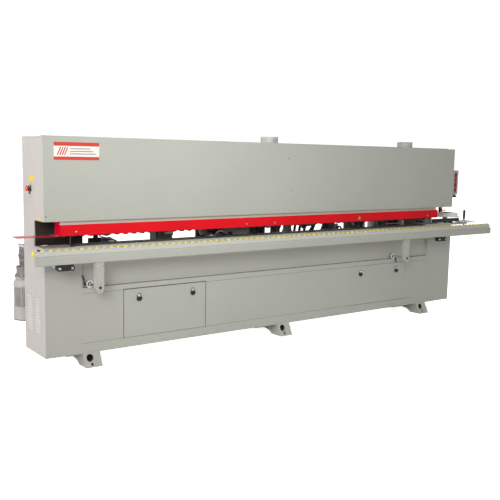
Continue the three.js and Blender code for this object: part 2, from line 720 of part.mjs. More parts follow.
piece('infeed_fence', infeedFence(), BLACK);
piece('tape_table', tapeTable(), GREY);
piece('tape_reel', tapeReel(), WHITE);
piece('fence_handwheel', fenceHandwheel(), STEEL);

piece('buffing_unit', buffingUnit(), BLACK);
piece('buffing_wheel_upper', buffingWheel(BUFF.upper), WHITE);
piece('buffing_wheel_lower', buffingWheel(BUFF.lower), WHITE);
piece('scraper_unit', scraperUnit(), DARK_STEEL);
piece('trim_unit', trimUnit(), ALUMINIUM);
piece('cutter_upper', trimCutter(TRIM.upper, 40), STEEL);
piece('cutter_lower', trimCutter(TRIM.lower, 37), STEEL);
piece('saw_rails', sawRails(), STEEL);
piece('saw_carriage', sawCarriage(), ALUMINIUM);
piece('saw_blade', sawBlade(), STEEL);
piece('glue_unit', glueUnit(), DARK_STEEL);
piece('glue_roller', verticalRoller(3825, 185, 20, 859.5, 945), STEEL);
piece('pressure_roller', verticalRoller(3500, 160, 34, 859.5, 945), STEEL);

export default machine;
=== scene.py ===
"""Looks of the edge banding machine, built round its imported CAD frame.

Lengths inside the builders are millimetres in the machine's own axes: x from the body's left
face, y from its front plane towards the back, z from the floor.
"""
import math

import bmesh
import bpy
from mathutils import Matrix, Vector


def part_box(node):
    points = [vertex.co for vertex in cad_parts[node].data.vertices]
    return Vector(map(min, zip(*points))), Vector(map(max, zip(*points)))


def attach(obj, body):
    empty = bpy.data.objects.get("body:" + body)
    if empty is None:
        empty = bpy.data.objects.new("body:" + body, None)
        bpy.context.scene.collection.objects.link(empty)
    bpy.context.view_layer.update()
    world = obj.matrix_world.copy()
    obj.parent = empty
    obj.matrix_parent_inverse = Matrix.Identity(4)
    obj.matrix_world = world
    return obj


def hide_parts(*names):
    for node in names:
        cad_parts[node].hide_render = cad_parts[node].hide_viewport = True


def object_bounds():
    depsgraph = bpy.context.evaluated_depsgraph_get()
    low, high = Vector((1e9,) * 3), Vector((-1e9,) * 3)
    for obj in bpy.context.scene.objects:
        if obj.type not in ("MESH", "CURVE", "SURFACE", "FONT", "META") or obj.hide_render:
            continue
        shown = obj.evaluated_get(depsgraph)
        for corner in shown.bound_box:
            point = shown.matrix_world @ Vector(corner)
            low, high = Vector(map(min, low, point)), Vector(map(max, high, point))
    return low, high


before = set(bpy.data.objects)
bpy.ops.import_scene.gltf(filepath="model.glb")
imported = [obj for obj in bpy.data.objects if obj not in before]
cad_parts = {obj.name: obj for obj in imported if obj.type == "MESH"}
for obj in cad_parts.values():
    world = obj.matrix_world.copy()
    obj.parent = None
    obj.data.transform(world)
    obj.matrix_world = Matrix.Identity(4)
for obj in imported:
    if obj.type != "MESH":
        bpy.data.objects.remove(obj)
cad_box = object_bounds()

MM = 0.001
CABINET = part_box("base_cabinet")
ORIGIN = Vector((CABINET[0].x, CABINET[0].y, cad_box[0].z))


def point(x, y, z):
    """Machine millimetres to a point of the row frame."""
    return ORIGIN + Vector((x, y, z)) * MM


def span(node):
    """A CAD node's lowest and highest corners in machine millimetres."""
    low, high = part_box(node)
    return (low - ORIGIN) / MM, (high - ORIGIN) / MM


# ---------------------------------------------------------------- materials
class Graph:
    """A material's node tree, with short calls for the nodes used here."""

    def __init__(self, name, colour, roughness=0.5, metallic=0.0):
        self.material = bpy.data.materials.new(name)
        self.material.use_nodes = True
        self.material.diffuse_color = (*colour, 1.0)
        self.tree = self.material.node_tree
        self.shader = self.tree.nodes["Principled BSDF"]
        self.colour = colour
        self.set("Base Color", (*colour, 1.0))
        self.set("Roughness", roughness)
        self.set("Metallic", metallic)
        self.place = self.add("ShaderNodeTexCoord").outputs["Object"]

    def add(self, kind, **settings):
        node = self.tree.nodes.new(kind)
        for key, value in settings.items():
            setattr(node, key, value)
        return node

    def set(self, socket, value, node=None):
        target = (node or self.shader).inputs[socket]
        if isinstance(value, bpy.types.NodeSocket):
            self.tree.links.new(value, target)
        else:
            target.default_value = value

    def stretched(self, x, y, z):
        node = self.add("ShaderNodeMapping")
        self.set("Vector", self.place, node)
        self.set("Scale", (x, y, z), node)
        return node.outputs["Vector"]

    def noise(self, scale, detail=3.0, roughness=0.55, vector=None):
        node = self.add("ShaderNodeTexNoise")
        self.set("Vector", vector or self.place, node)
        self.set("Scale", scale, node)
        self.set("Detail", detail, node)
        self.set("Roughness", roughness, node)
        return node.outputs["Fac"]

    def wave(self, scale, direction, distortion=0.0):
        node = self.add("ShaderNodeTexWave", bands_direction=direction)
        self.set("Vector", self.place, node)
        self.set("Scale", scale, node)
        self.set("Distortion", distortion, node)
        return node.outputs["Fac"]

    def remap(self, value, low, high, to_low, to_high):
        node = self.add("ShaderNodeMapRange")
        node.clamp = True
        for socket, number in zip(("Value", "From Min", "From Max", "To Min", "To Max"),
                                  (value, low, high, to_low, to_high)):
            self.set(socket, number, node)
        return node.outputs["Result"]

    def math(self, operation, a, b=0.0):
        node = self.add("ShaderNodeMath", operation=operation)
        for index, value in enumerate((a, b)):
            if isinstance(value, bpy.types.NodeSocket):
                self.tree.links.new(value, node.inputs[index])
            else:
                node.inputs[index].default_value = value
        return node.outputs[0]

    def blend(self, share, base, other):
        node = self.add("ShaderNodeMix", data_type="RGBA")
        for socket, value in zip(("Factor_Float", "A_Color", "B_Color"), (share, base, other)):
            target = next(s for s in node.inputs if s.identifier == socket)
            if isinstance(value, bpy.types.NodeSocket):
                self.tree.links.new(value, target)
            else:
                target.default_value = value
        return next(s for s in node.outputs if s.identifier == "Result_Color")

    def tint(self, factor):
        """The material's colour made lighter or darker by a factor."""
        return (*(min(1.0, channel * factor) for channel in self.colour), 1.0)

    def soft_edges(self, radius_mm=1.5):
        node = self.add("ShaderNodeBevel", samples=4)
        self.set("Radius", radius_mm * MM, node)
        return node.outputs["Normal"]

    def edge_mask(self, radius_mm=2.0):
        """Near one where the surface turns sharply."""
        rounded = self.soft_edges(radius_mm)
        facing = self.add("ShaderNodeVectorMath", operation="DOT_PRODUCT")
        self.tree.links.new(rounded, facing.inputs[0])
        self.tree.links.new(self.add("ShaderNodeNewGeometry").outputs["Normal"], facing.inputs[1])
        return self.remap(facing.outputs["Value"], 0.995, 0.8, 0.0, 1.0)

    def bump(self, height, depth_mm, strength=1.0, normal=None):
        node = self.add("ShaderNodeBump")
        self.set("Height", height, node)
        self.set("Distance", depth_mm * MM, node)
        self.set("Strength", strength, node)
        if normal is not None:
            self.set("Normal", normal, node)
        self.set("Normal", node.outputs["Normal"])
        return node.outputs["Normal"]


def powder_coat(name, colour, roughness=0.46, wear=0.35):
    g = Graph(name, colour, roughness)
    mottle = g.remap(g.noise(1.6, 4.0), 0.3, 0.7, 0.0, 1.0)
    base = g.blend(mottle, g.tint(0.965), g.tint(1.03))
    grime = g.math("MULTIPLY", g.remap(g.noise(11.0, 6.0, 0.7), 0.55, 0.8, 0.0, 1.0), 0.10)
    base = g.blend(grime, base, g.tint(0.62))
    edge = g.math("MULTIPLY", g.edge_mask(), wear)
    base = g.blend(g.math("MULTIPLY", edge, g.noise(45.0, 3.0)), base, g.tint(1.35))
    g.set("Base Color", base)
    g.set("Roughness", g.remap(g.noise(24.0, 4.0), 0.3, 0.7, roughness - 0.06, roughness + 0.08))
    g.bump(g.noise(620.0, 2.0), 0.04, 0.22, g.soft_edges(1.6))
    g.set("Specular IOR Level", 0.42)
    return g.material


def gloss_paint(name, colour):
    g = Graph(name, colour, 0.42)
    base = g.blend(g.remap(g.noise(3.0, 5.0), 0.35, 0.65, 0.0, 1.0), g.tint(0.93), g.tint(1.04))
    scuffs = g.remap(g.noise(130.0, 2.0, 0.5, g.stretched(0.06, 1.0, 1.0)), 0.66, 0.78, 0.0, 0.25)
    g.set("Base Color", g.blend(scuffs, base, g.tint(1.2)))
    g.set("Roughness", g.remap(g.noise(18.0, 5.0), 0.3, 0.7, 0.38, 0.52))
    g.set("Specular IOR Level", 0.06)
    g.bump(g.noise(420.0, 2.0), 0.03, 0.2, g.soft_edges(1.2))
    return g.material


def moulded(name, colour, roughness=0.45, grain=900.0, subsurface=0.0):
    g = Graph(name, colour, roughness)
    base = g.blend(g.remap(g.noise(30.0, 4.0), 0.3, 0.7, 0.0, 1.0), g.tint(0.9), g.tint(1.08))
    edge = g.math("MULTIPLY", g.edge_mask(1.2), 0.25)
    g.set("Base Color", g.blend(edge, base, g.tint(1.6)))
    g.set("Roughness", g.remap(g.noise(60.0, 3.0), 0.3, 0.7, roughness - 0.07, roughness + 0.1))
    g.bump(g.noise(grain, 2.0), 0.08, 0.6, g.soft_edges(1.0))
    g.set("Subsurface Weight", subsurface)
    g.set("Subsurface Radius", (0.004, 0.003, 0.002))
    return g.material


def rubber(name, colour, ribs=False):
    g = Graph(name, colour, 0.78)
    dust = g.remap(g.noise(70.0, 6.0, 0.7), 0.45, 0.75, 0.0, 0.5)
    edge = g.math("MULTIPLY", g.edge_mask(1.5), 0.5)
    base = g.blend(dust, g.tint(1.0), (0.16, 0.14, 0.11, 1.0))
    g.set("Base Color", g.blend(edge, base, (0.2, 0.19, 0.17, 1.0)))
    g.set("Roughness", g.remap(dust, 0.0, 0.5, 0.6, 0.92))
    height = g.noise(260.0, 4.0)
    if ribs:
        height = g.math("ADD", height, g.wave(60.0, "X"))
    g.bump(height, 0.3, 0.6, g.soft_edges(1.0))
    return g.material


def turned_metal(name, colour, roughness, along, streak=900.0):
    """Turned or ground metal with fine streaks across the given axis."""
    scale = {"X": (1.0, 0.02, 0.02), "Y": (0.02, 1.0, 0.02), "Z": (0.02, 0.02, 1.0)}[along]
    g = Graph(name, colour, roughness, 1.0)
    lines = g.noise(streak, 3.0, 0.6, g.stretched(*scale))
    stain = g.remap(g.noise(26.0, 5.0, 0.65), 0.45, 0.75, 0.0, 0.35)
    g.set("Base Color", g.blend(stain, g.blend(lines, g.tint(0.86), g.tint(1.08)), g.tint(0.66)))
    g.set("Roughness", g.remap(lines, 0.3, 0.7, roughness - 0.06, roughness + 0.14))
    g.bump(lines, 0.02, 0.5, g.soft_edges(0.8))
    return g.material


def chrome_plate(name):
    g = Graph(name, (0.80, 0.81, 0.82), 0.1, 1.0)
    haze = g.remap(g.noise(45.0, 5.0, 0.6), 0.4, 0.7, 0.0, 1.0)
    g.set("Base Color", g.blend(haze, g.tint(1.0), g.tint(0.85)))
    g.set("Roughness", g.remap(haze, 0.0, 1.0, 0.07, 0.2))
    g.bump(g.noise(150.0, 2.0), 0.02, 0.3, g.soft_edges(0.8))
    return g.material


def cast_metal(name, colour, roughness=0.5):
    g = Graph(name, colour, roughness, 0.85)
    pits = g.noise(700.0, 4.0, 0.7)
    edge = g.math("MULTIPLY", g.edge_mask(2.0), 0.6)
    base = g.blend(g.noise(9.0, 5.0), g.tint(0.82), g.tint(1.06))
    g.set("Base Color", g.blend(edge, base, g.tint(1.3)))
    g.set("Roughness", g.remap(pits, 0.3, 0.7, roughness - 0.08, roughness + 0.15))
    g.bump(pits, 0.25, 0.6, g.soft_edges(2.0))
    return g.material


def machine_enamel(name, colour):
    g = Graph(name, colour, 0.42)
    oil = g.remap(g.noise(14.0, 6.0, 0.7), 0.5, 0.8, 0.0, 0.45)
    edge = g.math("MULTIPLY", g.edge_mask(2.0), 0.5)
    base = g.blend(oil, g.blend(g.noise(4.0, 4.0), g.tint(0.93), g.tint(1.06)), g.tint(0.55))
    g.set("Base Color", g.blend(edge, base, g.tint(1.5)))
    g.set("Roughness", g.remap(oil, 0.0, 0.45, 0.48, 0.24))
    g.bump(g.noise(330.0, 3.0), 0.18, 0.6, g.soft_edges(1.6))
    return g.material


def stitched_cotton(name):
    g = Graph(name, (0.66, 0.60, 0.46), 0.92)
    layers = g.wave(520.0, "Y", 1.5)
    fuzz = g.noise(480.0, 5.0, 0.75)
    base = g.blend(layers, g.tint(0.72), g.tint(1.1))
    g.set("Base Color", g.blend(g.remap(g.noise(40.0, 4.0), 0.45, 0.75, 0.0, 0.6), base, g.tint(0.55)))
    g.set("Sheen Weight", 0.5)
    g.bump(g.math("ADD", layers, fuzz), 0.7, 0.9)
    return g.material


def wound_tape(name):
    g = Graph(name, (0.93, 0.92, 0.89), 0.5)
    turns = g.noise(1500.0, 2.0, 0.5, g.stretched(1.0, 1.0, 0.01))
    g.set("Base Color", g.blend(turns, g.tint(0.88), g.tint(1.05)))
    g.bump(turns, 0.25, 0.8)
    return g.material


def tinted_acrylic(name):
    g = Graph(name, (0.82, 0.03, 0.035), 0.12)
    g.set("Transmission Weight", 0.55)
    g.set("IOR", 1.49)
    smear = g.remap(g.noise(22.0, 5.0, 0.65, g.stretched(0.3, 1.0, 1.0)), 0.4, 0.75, 0.06, 0.3)
    g.set("Roughness", smear)
    g.set("Base Color", g.blend(g.noise(6.0, 3.0), g.tint(0.92), g.tint(1.1)))
    g.bump(g.noise(90.0, 2.0), 0.05, 0.3, g.soft_edges(1.0))
    return g.material


def printed(name, colour):
    """Printed film: slightly uneven ink under a clear layer."""
    g = Graph(name, colour, 0.3)
    g.set("Base Color", g.blend(g.noise(260.0, 3.0), g.tint(0.9), g.tint(1.04)))
    g.set("Coat Weight", 0.4)
    g.set("Coat Roughness", 0.15)
    g.bump(g.noise(35.0, 2.0), 0.05, 0.4)
    return g.material


def ribbed_hose(name, colour):
    g = Graph(name, colour, 0.5)
    g.set("Base Color", g.blend(g.noise(20.0, 4.0), g.tint(0.8), g.tint(1.15)))
    g.set("Roughness", g.remap(g.noise(50.0, 3.0), 0.3, 0.7, 0.42, 0.62))
    g.bump(g.noise(200.0, 3.0), 0.2, 0.4, g.soft_edges(1.0))
    return g.material


COAT = powder_coat("coat_grey", (0.418, 0.425, 0.376))
# Pale coat for the roller carrier and other light parts, and as painted highlight on the louvre lips.
PALE_COAT_AND_HIGHLIGHT = powder_coat("coat_pale_and_highlight", (0.52, 0.525, 0.49))
LIP = powder_coat("coat_lip", (0.62, 0.59, 0.49), 0.5)
# Near-black sheets that stand in for the shade inside the machine: painted shade.
INSIDE_SHADE = powder_coat("painted_shade_inside", (0.022, 0.018, 0.016), 0.6)
# Dark coat for dark parts, and also painted shade in holes, an open beam end and the spigots.
DARK_COAT_AND_SHADE = powder_coat("coat_dark_and_shade", (0.035, 0.034, 0.032), 0.5, 0.6)
RED = gloss_paint("paint_red", (0.70, 0.010, 0.018))
# Deeper red, also given to the red cover's end faces as painted shade.
DEEP_RED_AND_SHADE = gloss_paint("paint_deep_red_and_shade", (0.45, 0.0, 0.025))
BLACK = moulded("plastic_black", (0.017, 0.016, 0.015))
YELLOW = moulded("nylon_yellow", (0.80, 0.66, 0.10), 0.36, 700.0, 0.08)
SAFETY_YELLOW = moulded("plastic_yellow", (0.86, 0.63, 0.02), 0.36)
WHITE = moulded("plastic_white", (0.78, 0.78, 0.74), 0.38)
RED_PLASTIC = moulded("plastic_red", (0.70, 0.022, 0.02), 0.3)
AMBER = moulded("plastic_amber", (0.72, 0.50, 0.05), 0.36)
ORANGE = moulded("plastic_orange", (0.86, 0.33, 0.03), 0.35)
PAD = rubber("rubber_pad", (0.028, 0.025, 0.023))
TYRE = rubber("rubber_tyre", (0.055, 0.05, 0.046), True)
STEEL_X = turned_metal("steel_along_x", (0.56, 0.555, 0.545), 0.28, "X")
STEEL_Y = turned_metal("steel_along_y", (0.56, 0.555, 0.545), 0.28, "Y")
STEEL_Z = turned_metal("steel_along_z", (0.58, 0.575, 0.565), 0.28, "Z")
CHAIN_STEEL = turned_metal("steel_chain", (0.16, 0.145, 0.13), 0.42, "X")
ZINC = turned_metal("steel_zinc", (0.60, 0.60, 0.57), 0.34, "Z", 400.0)
BLACK_OXIDE = turned_metal("steel_black_oxide", (0.045, 0.043, 0.042), 0.38, "Z", 400.0)
CHROME = chrome_plate("chrome_plate")
ALUMINIUM = cast_metal("aluminium_cast", (0.56, 0.565, 0.57))
EXTRUDED = turned_metal("aluminium_extruded", (0.66, 0.665, 0.66), 0.36, "Y", 500.0)
ENAMEL = machine_enamel("enamel_motor", (0.36, 0.35, 0.325))
CAST_GREY = machine_enamel("enamel_gearbox", (0.175, 0.165, 0.15))
DARK_ENAMEL = machine_enamel("enamel_dark", (0.085, 0.085, 0.08))
COTTON = stitched_cotton("cotton_stitched")
TAPE = wound_tape("tape_wound")
ACRYLIC = tinted_acrylic("acrylic_red")
PRINT_RED = printed("print_red", (0.58, 0.055, 0.04))
FILM_RED = printed("film_red", (0.42, 0.045, 0.07))
PRINT_WHITE = printed("print_white", (0.86, 0.79, 0.72))
PRINT_YELLOW = printed("print_yellow", (0.70, 0.56, 0.02))
PRINT_AMBER = printed("print_amber", (0.55, 0.27, 0.04))
PRINT_BLACK = printed("print_black", (0.02, 0.02, 0.02))
PRINT_GREY = printed("print_grey", (0.28, 0.28, 0.27))
# Dark strips as painted shadow in joints, gaps and along the recess's lower edge.
SEAM_SHADOW = rubber("joint_shadow", (0.085, 0.08, 0.07))
HOSE = ribbed_hose("hose_grey", (0.30, 0.30, 0.29))
CABLE = ribbed_hose("cable_black", (0.02, 0.02, 0.022))


# ---------------------------------------------------------------- mesh builders
AXES = {"X": (1, 2, 0), "Y": (0, 2, 1), "Z": (0, 1, 2)}  # the two flat coordinates, then the long one
SHARP_EDGE = math.radians(40.0)
SHARP_FACET = math.radians(33.0)


def placed(axis, a, b, along):
    """A point from its two flat coordinates and its place along an axis."""
    spot = [0.0, 0.0, 0.0]
    for index, value in zip(AXES[axis], (a, b, along)):
        spot[index] = value
    return tuple(spot)


def around(a, b, radius, angle):
    """The point of a circle at an angle in radians."""
    return a + radius * math.cos(angle), b + radius * math.sin(angle)


def circle(a, b, radius, count, first=0.0):
    """Evenly spaced points of a circle; first is in degrees."""
    return [around(a, b, radius, math.radians(first + 360 * i / count)) for i in range(count)]


def arc(a, b, radius, start, end, steps):
    """Points of an arc in degrees, both ends included."""
    return [around(a, b, radius, math.radians(start + (end - start) * i / steps)) for i in range(steps + 1)]


def spun(a, b, angle, outline):
    """An outline of (outward, sideways) points, turned by an angle round (a, b)."""
    c, s = math.cos(angle), math.sin(angle)
    return [(a + r * c - t * s, b + r * s + t * c) for r, t in outline]


def rounded(a, b, radius, steps=4):
    """A rectangle with round corners, as an outline; a and b are (low, high) pairs."""
    corners = ((a[1] - radius, b[1] - radius, 0), (a[0] + radius, b[1] - radius, 90),
               (a[0] + radius, b[0] + radius, 180), (a[1] - radius, b[0] + radius, 270))
    return [p for ca, cb, turn in corners for p in arc(ca, cb, radius, turn, turn + 90, steps)]


def smooth_path(path, steps):
    """Points of a smooth curve through the given ones."""
    knots = [Vector(p) for p in path]
    knots = [knots[0] * 2 - knots[1]] + knots + [knots[-1] * 2 - knots[-2]]
    made = []
    for i in range(1, len(knots) - 2):
        before, here, there, after = knots[i - 1:i + 3]
        for step in range(steps):
            t = step / steps
            made.append(0.5 * (2 * here + (there - before) * t
                               + (2 * before - 5 * here + 4 * there - after) * t * t
                               + (3 * here - before - 3 * there + after) * t * t * t))
    made.append(knots[-2])
    return made


def ring_walls(first, second, sides):
    """Four-sided faces between two rings of points, given their first points' numbers."""
    return [(first + step, first + (step + 1) % sides, second + (step + 1) % sides, second + step)
            for step in range(sides)]


class Build:
    """Collects the parts of one piece; each part names its material."""

    def __init__(self):
        self.points = []
        self.faces = []
        self.face_material = []
        self.materials = []

    def add(self, points, faces, material):
        if material not in self.materials:
            self.materials.append(material)
        number = self.materials.index(material)
        start = len(self.points)
        self.points.extend(points)
        self.faces.extend([tuple(start + i for i in face) for face in faces])
        self.face_material.extend([number] * len(faces))

    def box(self, x, y, z, material):
        corners = [(x[i], y[j], z[k]) for i in (0, 1) for j in (0, 1) for k in (0, 1)]
        faces = [(0, 1, 3, 2), (4, 6, 7, 5), (0, 4, 5, 1), (2, 3, 7, 6), (0, 2, 6, 4), (1, 5, 7, 3)]
        self.add(corners, faces, material)

    def boxes(self, material, *blocks):
        for x, y, z in blocks:
            self.box(x, y, z, material)

    def prism(self, axis, outline, start, end, material):
        """A closed outline pushed along an axis."""
        count = len(outline)
        points = [placed(axis, a, b, start) for a, b in outline]
        points += [placed(axis, a, b, end) for a, b in outline]
        faces = [tuple(range(count)), tuple(range(2 * count - 1, count - 1, -1))]
        faces += [(i, i + count, (i + 1) % count + count, (i + 1) % count) for i in range(count)]
        self.add(points, faces, material)

    def lathe(self, axis, a, b, profile, material, sides=32):
        """A profile of (radius, place along the axis) turned round the axis through (a, b)."""
        points = [placed(axis, *spot, along) for radius, along in profile
                  for spot in circle(a, b, radius, sides)]
        last = (len(profile) - 1) * sides
        faces = [face for low in range(0, last, sides) for face in ring_walls(low, low + sides, sides)]
        faces += [tuple(range(sides))[::-1], tuple(range(last, last + sides))]
        self.add(points, faces, material)

    def rod(self, axis, a, b, radius, start, end, material, sides=24, chamfer=0.0):
        if chamfer:
            sign = chamfer if end > start else -chamfer
            profile = [(radius - chamfer, start), (radius, start + sign), (radius, end - sign),
                       (radius - chamfer, end)]
        else:
            profile = [(radius, start), (radius, end)]
        self.lathe(axis, a, b, profile, material, sides)

    def ring(self, axis, a, b, inner, outer, start, end, material, sides=32):
        """A flat washer or tube."""
        profile = ((inner, start), (outer, start), (outer, end), (inner, end))
        points = [placed(axis, *spot, along) for radius, along in profile
                  for spot in circle(a, b, radius, sides)]
        faces = [face for loop in range(4)
                 for face in ring_walls(loop * sides, (loop + 1) % 4 * sides, sides)]
        self.add(points, faces, material)

    def hex_bolt(self, axis, a, b, radius, face, head, material):
        """A hexagon head standing on a face; head is its height, signed along the axis."""
        top = face + head
        hexagon = [(radius, face), (radius, face + head * 0.8), (radius * 0.86, top)]
        self.lathe(axis, a, b, hexagon, material, 6)
        washer = radius * 1.35
        self.lathe(axis, a, b, [(washer, face), (washer, face + head * 0.18)], material, 20)

    def cap_screw(self, axis, a, b, radius, face, head, material):
        """A round head with a sunk socket, standing on a face as hex_bolt's does."""
        top = face + head
        self.lathe(axis, a, b, [(radius, face), (radius, face + head * 0.85), (radius * 0.88, top),
                                (radius * 0.5, top), (radius * 0.5, face + head * 0.4)], material, 20)

    def tube(self, path, radius, material, sides=12, ribs=0.0):
        """A round tube swept along a smooth path; ribs swell it at every other ring."""
        spots = smooth_path(path, 10)
        up = Vector((0.13, 0.31, 0.94))
        points = []
        for i, spot in enumerate(spots):
            ahead = spots[min(i + 1, len(spots) - 1)] - spots[max(i - 1, 0)]
            across = ahead.cross(up).normalized()
            over = across.cross(ahead).normalized()
            size = radius + (ribs if i % 2 else 0.0)
            points += [tuple(spot + across * u + over * v) for u, v in circle(0, 0, size, sides)]
        last = (len(spots) - 1) * sides
        faces = [face for low in range(0, last, sides) for face in ring_walls(low, low + sides, sides)]
        faces += [tuple(range(sides))[::-1], tuple(range(last, last + sides))]
        self.add(points, faces, material)

    def ball(self, x, y, z, radius, material):
        half = arc(0, z, radius, -90, 90, 10)
        self.lathe("Z", x, y, [(max(0.4, out), along) for out, along in half], material, 20)


def grid(place, axis, first, second, *rest):
    """Calls a builder's method at each crossing of two rows of coordinates."""
    for a in first:
        for b in second:
            place(axis, a, b, *rest)


def middle(node):
    """The middle of a CAD node in machine millimetres."""
    low, high = span(node)
    return (low + high) / 2


def finish_piece(name, build, body, stands_for=(), edge=0.8):
    """Makes the object, softens its edges and puts it on its body."""
    mesh = bpy.data.meshes.new(name)
    mesh.from_pydata([point(*p) for p in build.points], [], build.faces)
    for material in build.materials:
        mesh.materials.append(material)
    mesh.polygons.foreach_set("material_index", build.face_material)
    mesh.update()
    bm = bmesh.new()
    bm.from_mesh(mesh)
    bmesh.ops.recalc_face_normals(bm, faces=bm.faces)
    bm.to_mesh(mesh)
    bm.free()
    mesh.polygons.foreach_set("use_smooth", [True] * len(mesh.polygons))
    mesh.set_sharp_from_angle(angle=SHARP_EDGE)
    item = bpy.data.objects.new(name, mesh)
    bpy.context.scene.collection.objects.link(item)
    if edge:
        bevel = item.modifiers.new("soft_edges", "BEVEL")
        bevel.width = edge * MM
        bevel.segments = 2
        bevel.limit_method = "ANGLE"
        bevel.angle_limit = SHARP_EDGE
        bevel.harden_normals = True
        bevel.use_clamp_overlap = True
    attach(item, body)
    if stands_for:
        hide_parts(*stands_for)
    return item


def dress_node(name, material):
    """Gives a CAD node its material and smooth shading across shallow facets."""
    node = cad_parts[name]
    mesh = node.data
    mesh.materials.clear()
    mesh.materials.append(material)
    mesh.polygons.foreach_set("material_index", [0] * len(mesh.polygons))
    mesh.polygons.foreach_set("use_smooth", [True] * len(mesh.polygons))
    weld = node.modifiers.new("weld", "WELD")
    weld.merge_threshold = 0.00001
    split = node.modifiers.new("split", "EDGE_SPLIT")
    split.split_angle = SHARP_FACET


for cad_name in ("base_cabinet", "foot_left", "foot_middle", "foot_right", "front_door_left",
                 "front_door_right", "rear_door", "hood_end_left", "hood_end_right", "hood_roof",
                 "hood_door", "tape_table", "support_bracket_left", "support_bracket_right"):
    dress_node(cad_name, COAT)
for cad_name, finish in (("drive_sprocket", DARK_ENAMEL), ("idler_sprocket", DARK_ENAMEL),
                         ("motor_fan", BLACK), ("pressure_beam", LIP), ("pressure_cover", RED),
                         ("infeed_switch", BLACK), ("glue_roller", STEEL_Z)):
    dress_node(cad_name, finish)


# ---------------------------------------------------------------- roller support
beam_low, beam_high = span("roller_beam")
ROLLER_R = 13.0
ROLLER_PITCH = 56.0
FIRST_ROLLER = -75.0
ROLLER_COUNT = 87
ROLLER_Z = 887.0
ROLLER_Y = (-181.0, -159.0)
CARRIER_TOP = 889.0
HANGER_ROD_Z = 612.0  # rods of the hanging brackets, which the clamps grip
GUIDE_ROD_Z = 767.0


def roller_beam():
    """The grey beam in front of the machine, with its rounded top edge, a dark plate in its open end as
    painted shade, and screws.
    """
    x0, x1 = beam_low.x, beam_high.x
    y0, y1, z0, z1 = beam_low.y, beam_high.y, beam_low.z, beam_high.z
    fillet = 12.0
    skin = 5.0
    outline = [(y0, z0 + 4), (y0 + 4, z0), (y1, z0), (y1, z1)]
    outline += arc(y0 + fillet, z1 - fillet, fillet, 90, 180, 8)
    build = Build()
    build.prism("X", outline, x0, x1, COAT)
    # Dark plate inside the open end: painted shade of the hollow beam.
    build.box((x1 - 3, x1 + 0.2), (y0 + skin, y1 - skin), (z0 + skin, z1 - skin), DARK_COAT_AND_SHADE)
    for x in range(40, int(x1), 420):
        build.cap_screw("Y", x, (z0 + z1) / 2 - 14, 5, y1, 4, BLACK_OXIDE)
    finish_piece("roller_beam_profile", build, "roller_support", ["roller_beam"], 1.2)


def roller_row():
    """The yellow rollers in their channel, and the amber ball at the outfeed end."""
    build = Build()
    x0, x1 = beam_low.x + 2, beam_high.x - 10
    for y in ((-186, -183.4), (-156.6, -154)):
        build.box((x0, x1), y, (beam_high.z + 0.3, CARRIER_TOP), PALE_COAT_AND_HIGHLIGHT)
    build.box((x0, x1), (-184, -156), (beam_high.z + 0.3, beam_high.z + 3), PALE_COAT_AND_HIGHLIGHT)
    low, high = ROLLER_Y
    for i in range(ROLLER_COUNT):
        x = FIRST_ROLLER + i * ROLLER_PITCH
        build.lathe("Y", x, ROLLER_Z, [
            (5, low - 1.2), (5.4, low + 0.6), (9.6, low + 1.2), (10.4, low), (12, low),
            (ROLLER_R, low + 1.2), (ROLLER_R, high - 1.2), (12, high), (10.4, high), (9.6, high - 1.2),
            (5.4, high - 0.6), (5, high + 1.2),
        ], YELLOW, 28)
        build.rod("Y", x, ROLLER_Z, 3.4, -187.6, -152.4, ZINC, 10)
    build.lathe("Z", -138, -170, [
        (5, beam_high.z + 0.3), (8, beam_high.z + 2), (12.5, 866), (14.5, 873), (14.5, 884), (12, 891),
        (7, 895.5), (1, 897),
    ], AMBER, 24)
    finish_piece("roller_row", build, "roller_support", ["support_rollers"], 0.0)


def bracket_details():
    """Bolts of the two hanging brackets and the polished face of their rods."""
    for side, node in (("left", "support_bracket_left"), ("right", "support_bracket_right")):
        x, front = middle(node).x, span(node)[0].y
        build = Build()
        build.cap_screw("Y", x, HANGER_ROD_Z, 9, front, -6, BLACK_OXIDE)
        build.ring("Y", x, HANGER_ROD_Z, 9, 13, front - 1.2, front, ZINC)
        for dx in (-18, 18):
            build.hex_bolt("Y", x + dx, 768, 6, front, -4.5, ZINC)
        build.rod("Y", x, HANGER_ROD_Z, 12.15, front + 8, 338, CHROME, 32)
        finish_piece("bracket_bolts_" + side, build, "roller_support", (), 0.3)


def guide_blocks():
    """Black ribbed blocks that carry the roller support, each with two chrome guide rods."""
    for side, node in (("left", "guide_block_left"), ("right", "guide_block_right")):
        low, high = span(node)
        x0, x1, z0, z1 = low.x, high.x, low.z, high.z
        build = Build()
        build.box((x0 + 38, x0 + 98), (-186, -140), (z0 + 11, z1), BLACK)
        for i in range(6):
            x = x0 + 46 + i * 7.6
            build.box((x, x + 3.4), (-187.4, -139), (z0 + 13, z1 - 2), BLACK)
        build.box((x0 + 4, x1 - 4), (-178, -142), (z1 - 8, z1), BLACK)
        for x in (x0 + 23, x0 + 113):
            build.lathe("Y", x, GUIDE_ROD_Z, [(17, -186), (20, -184), (20, -142), (17, -140)], BLACK, 32)
            build.ring("Y", x, GUIDE_ROD_Z, 9.5, 17, -188.5, -186, BLACK, 36)
            build.rod("Y", x, GUIDE_ROD_Z, 13, -187, 348, CHROME, 32, 1.5)
            build.rod("Y", x, GUIDE_ROD_Z, 8.5, -186, -190, CHROME, 28, 1.0)
        finish_piece("guide_block_detail_" + side, build, "roller_support", [node], 0.8)


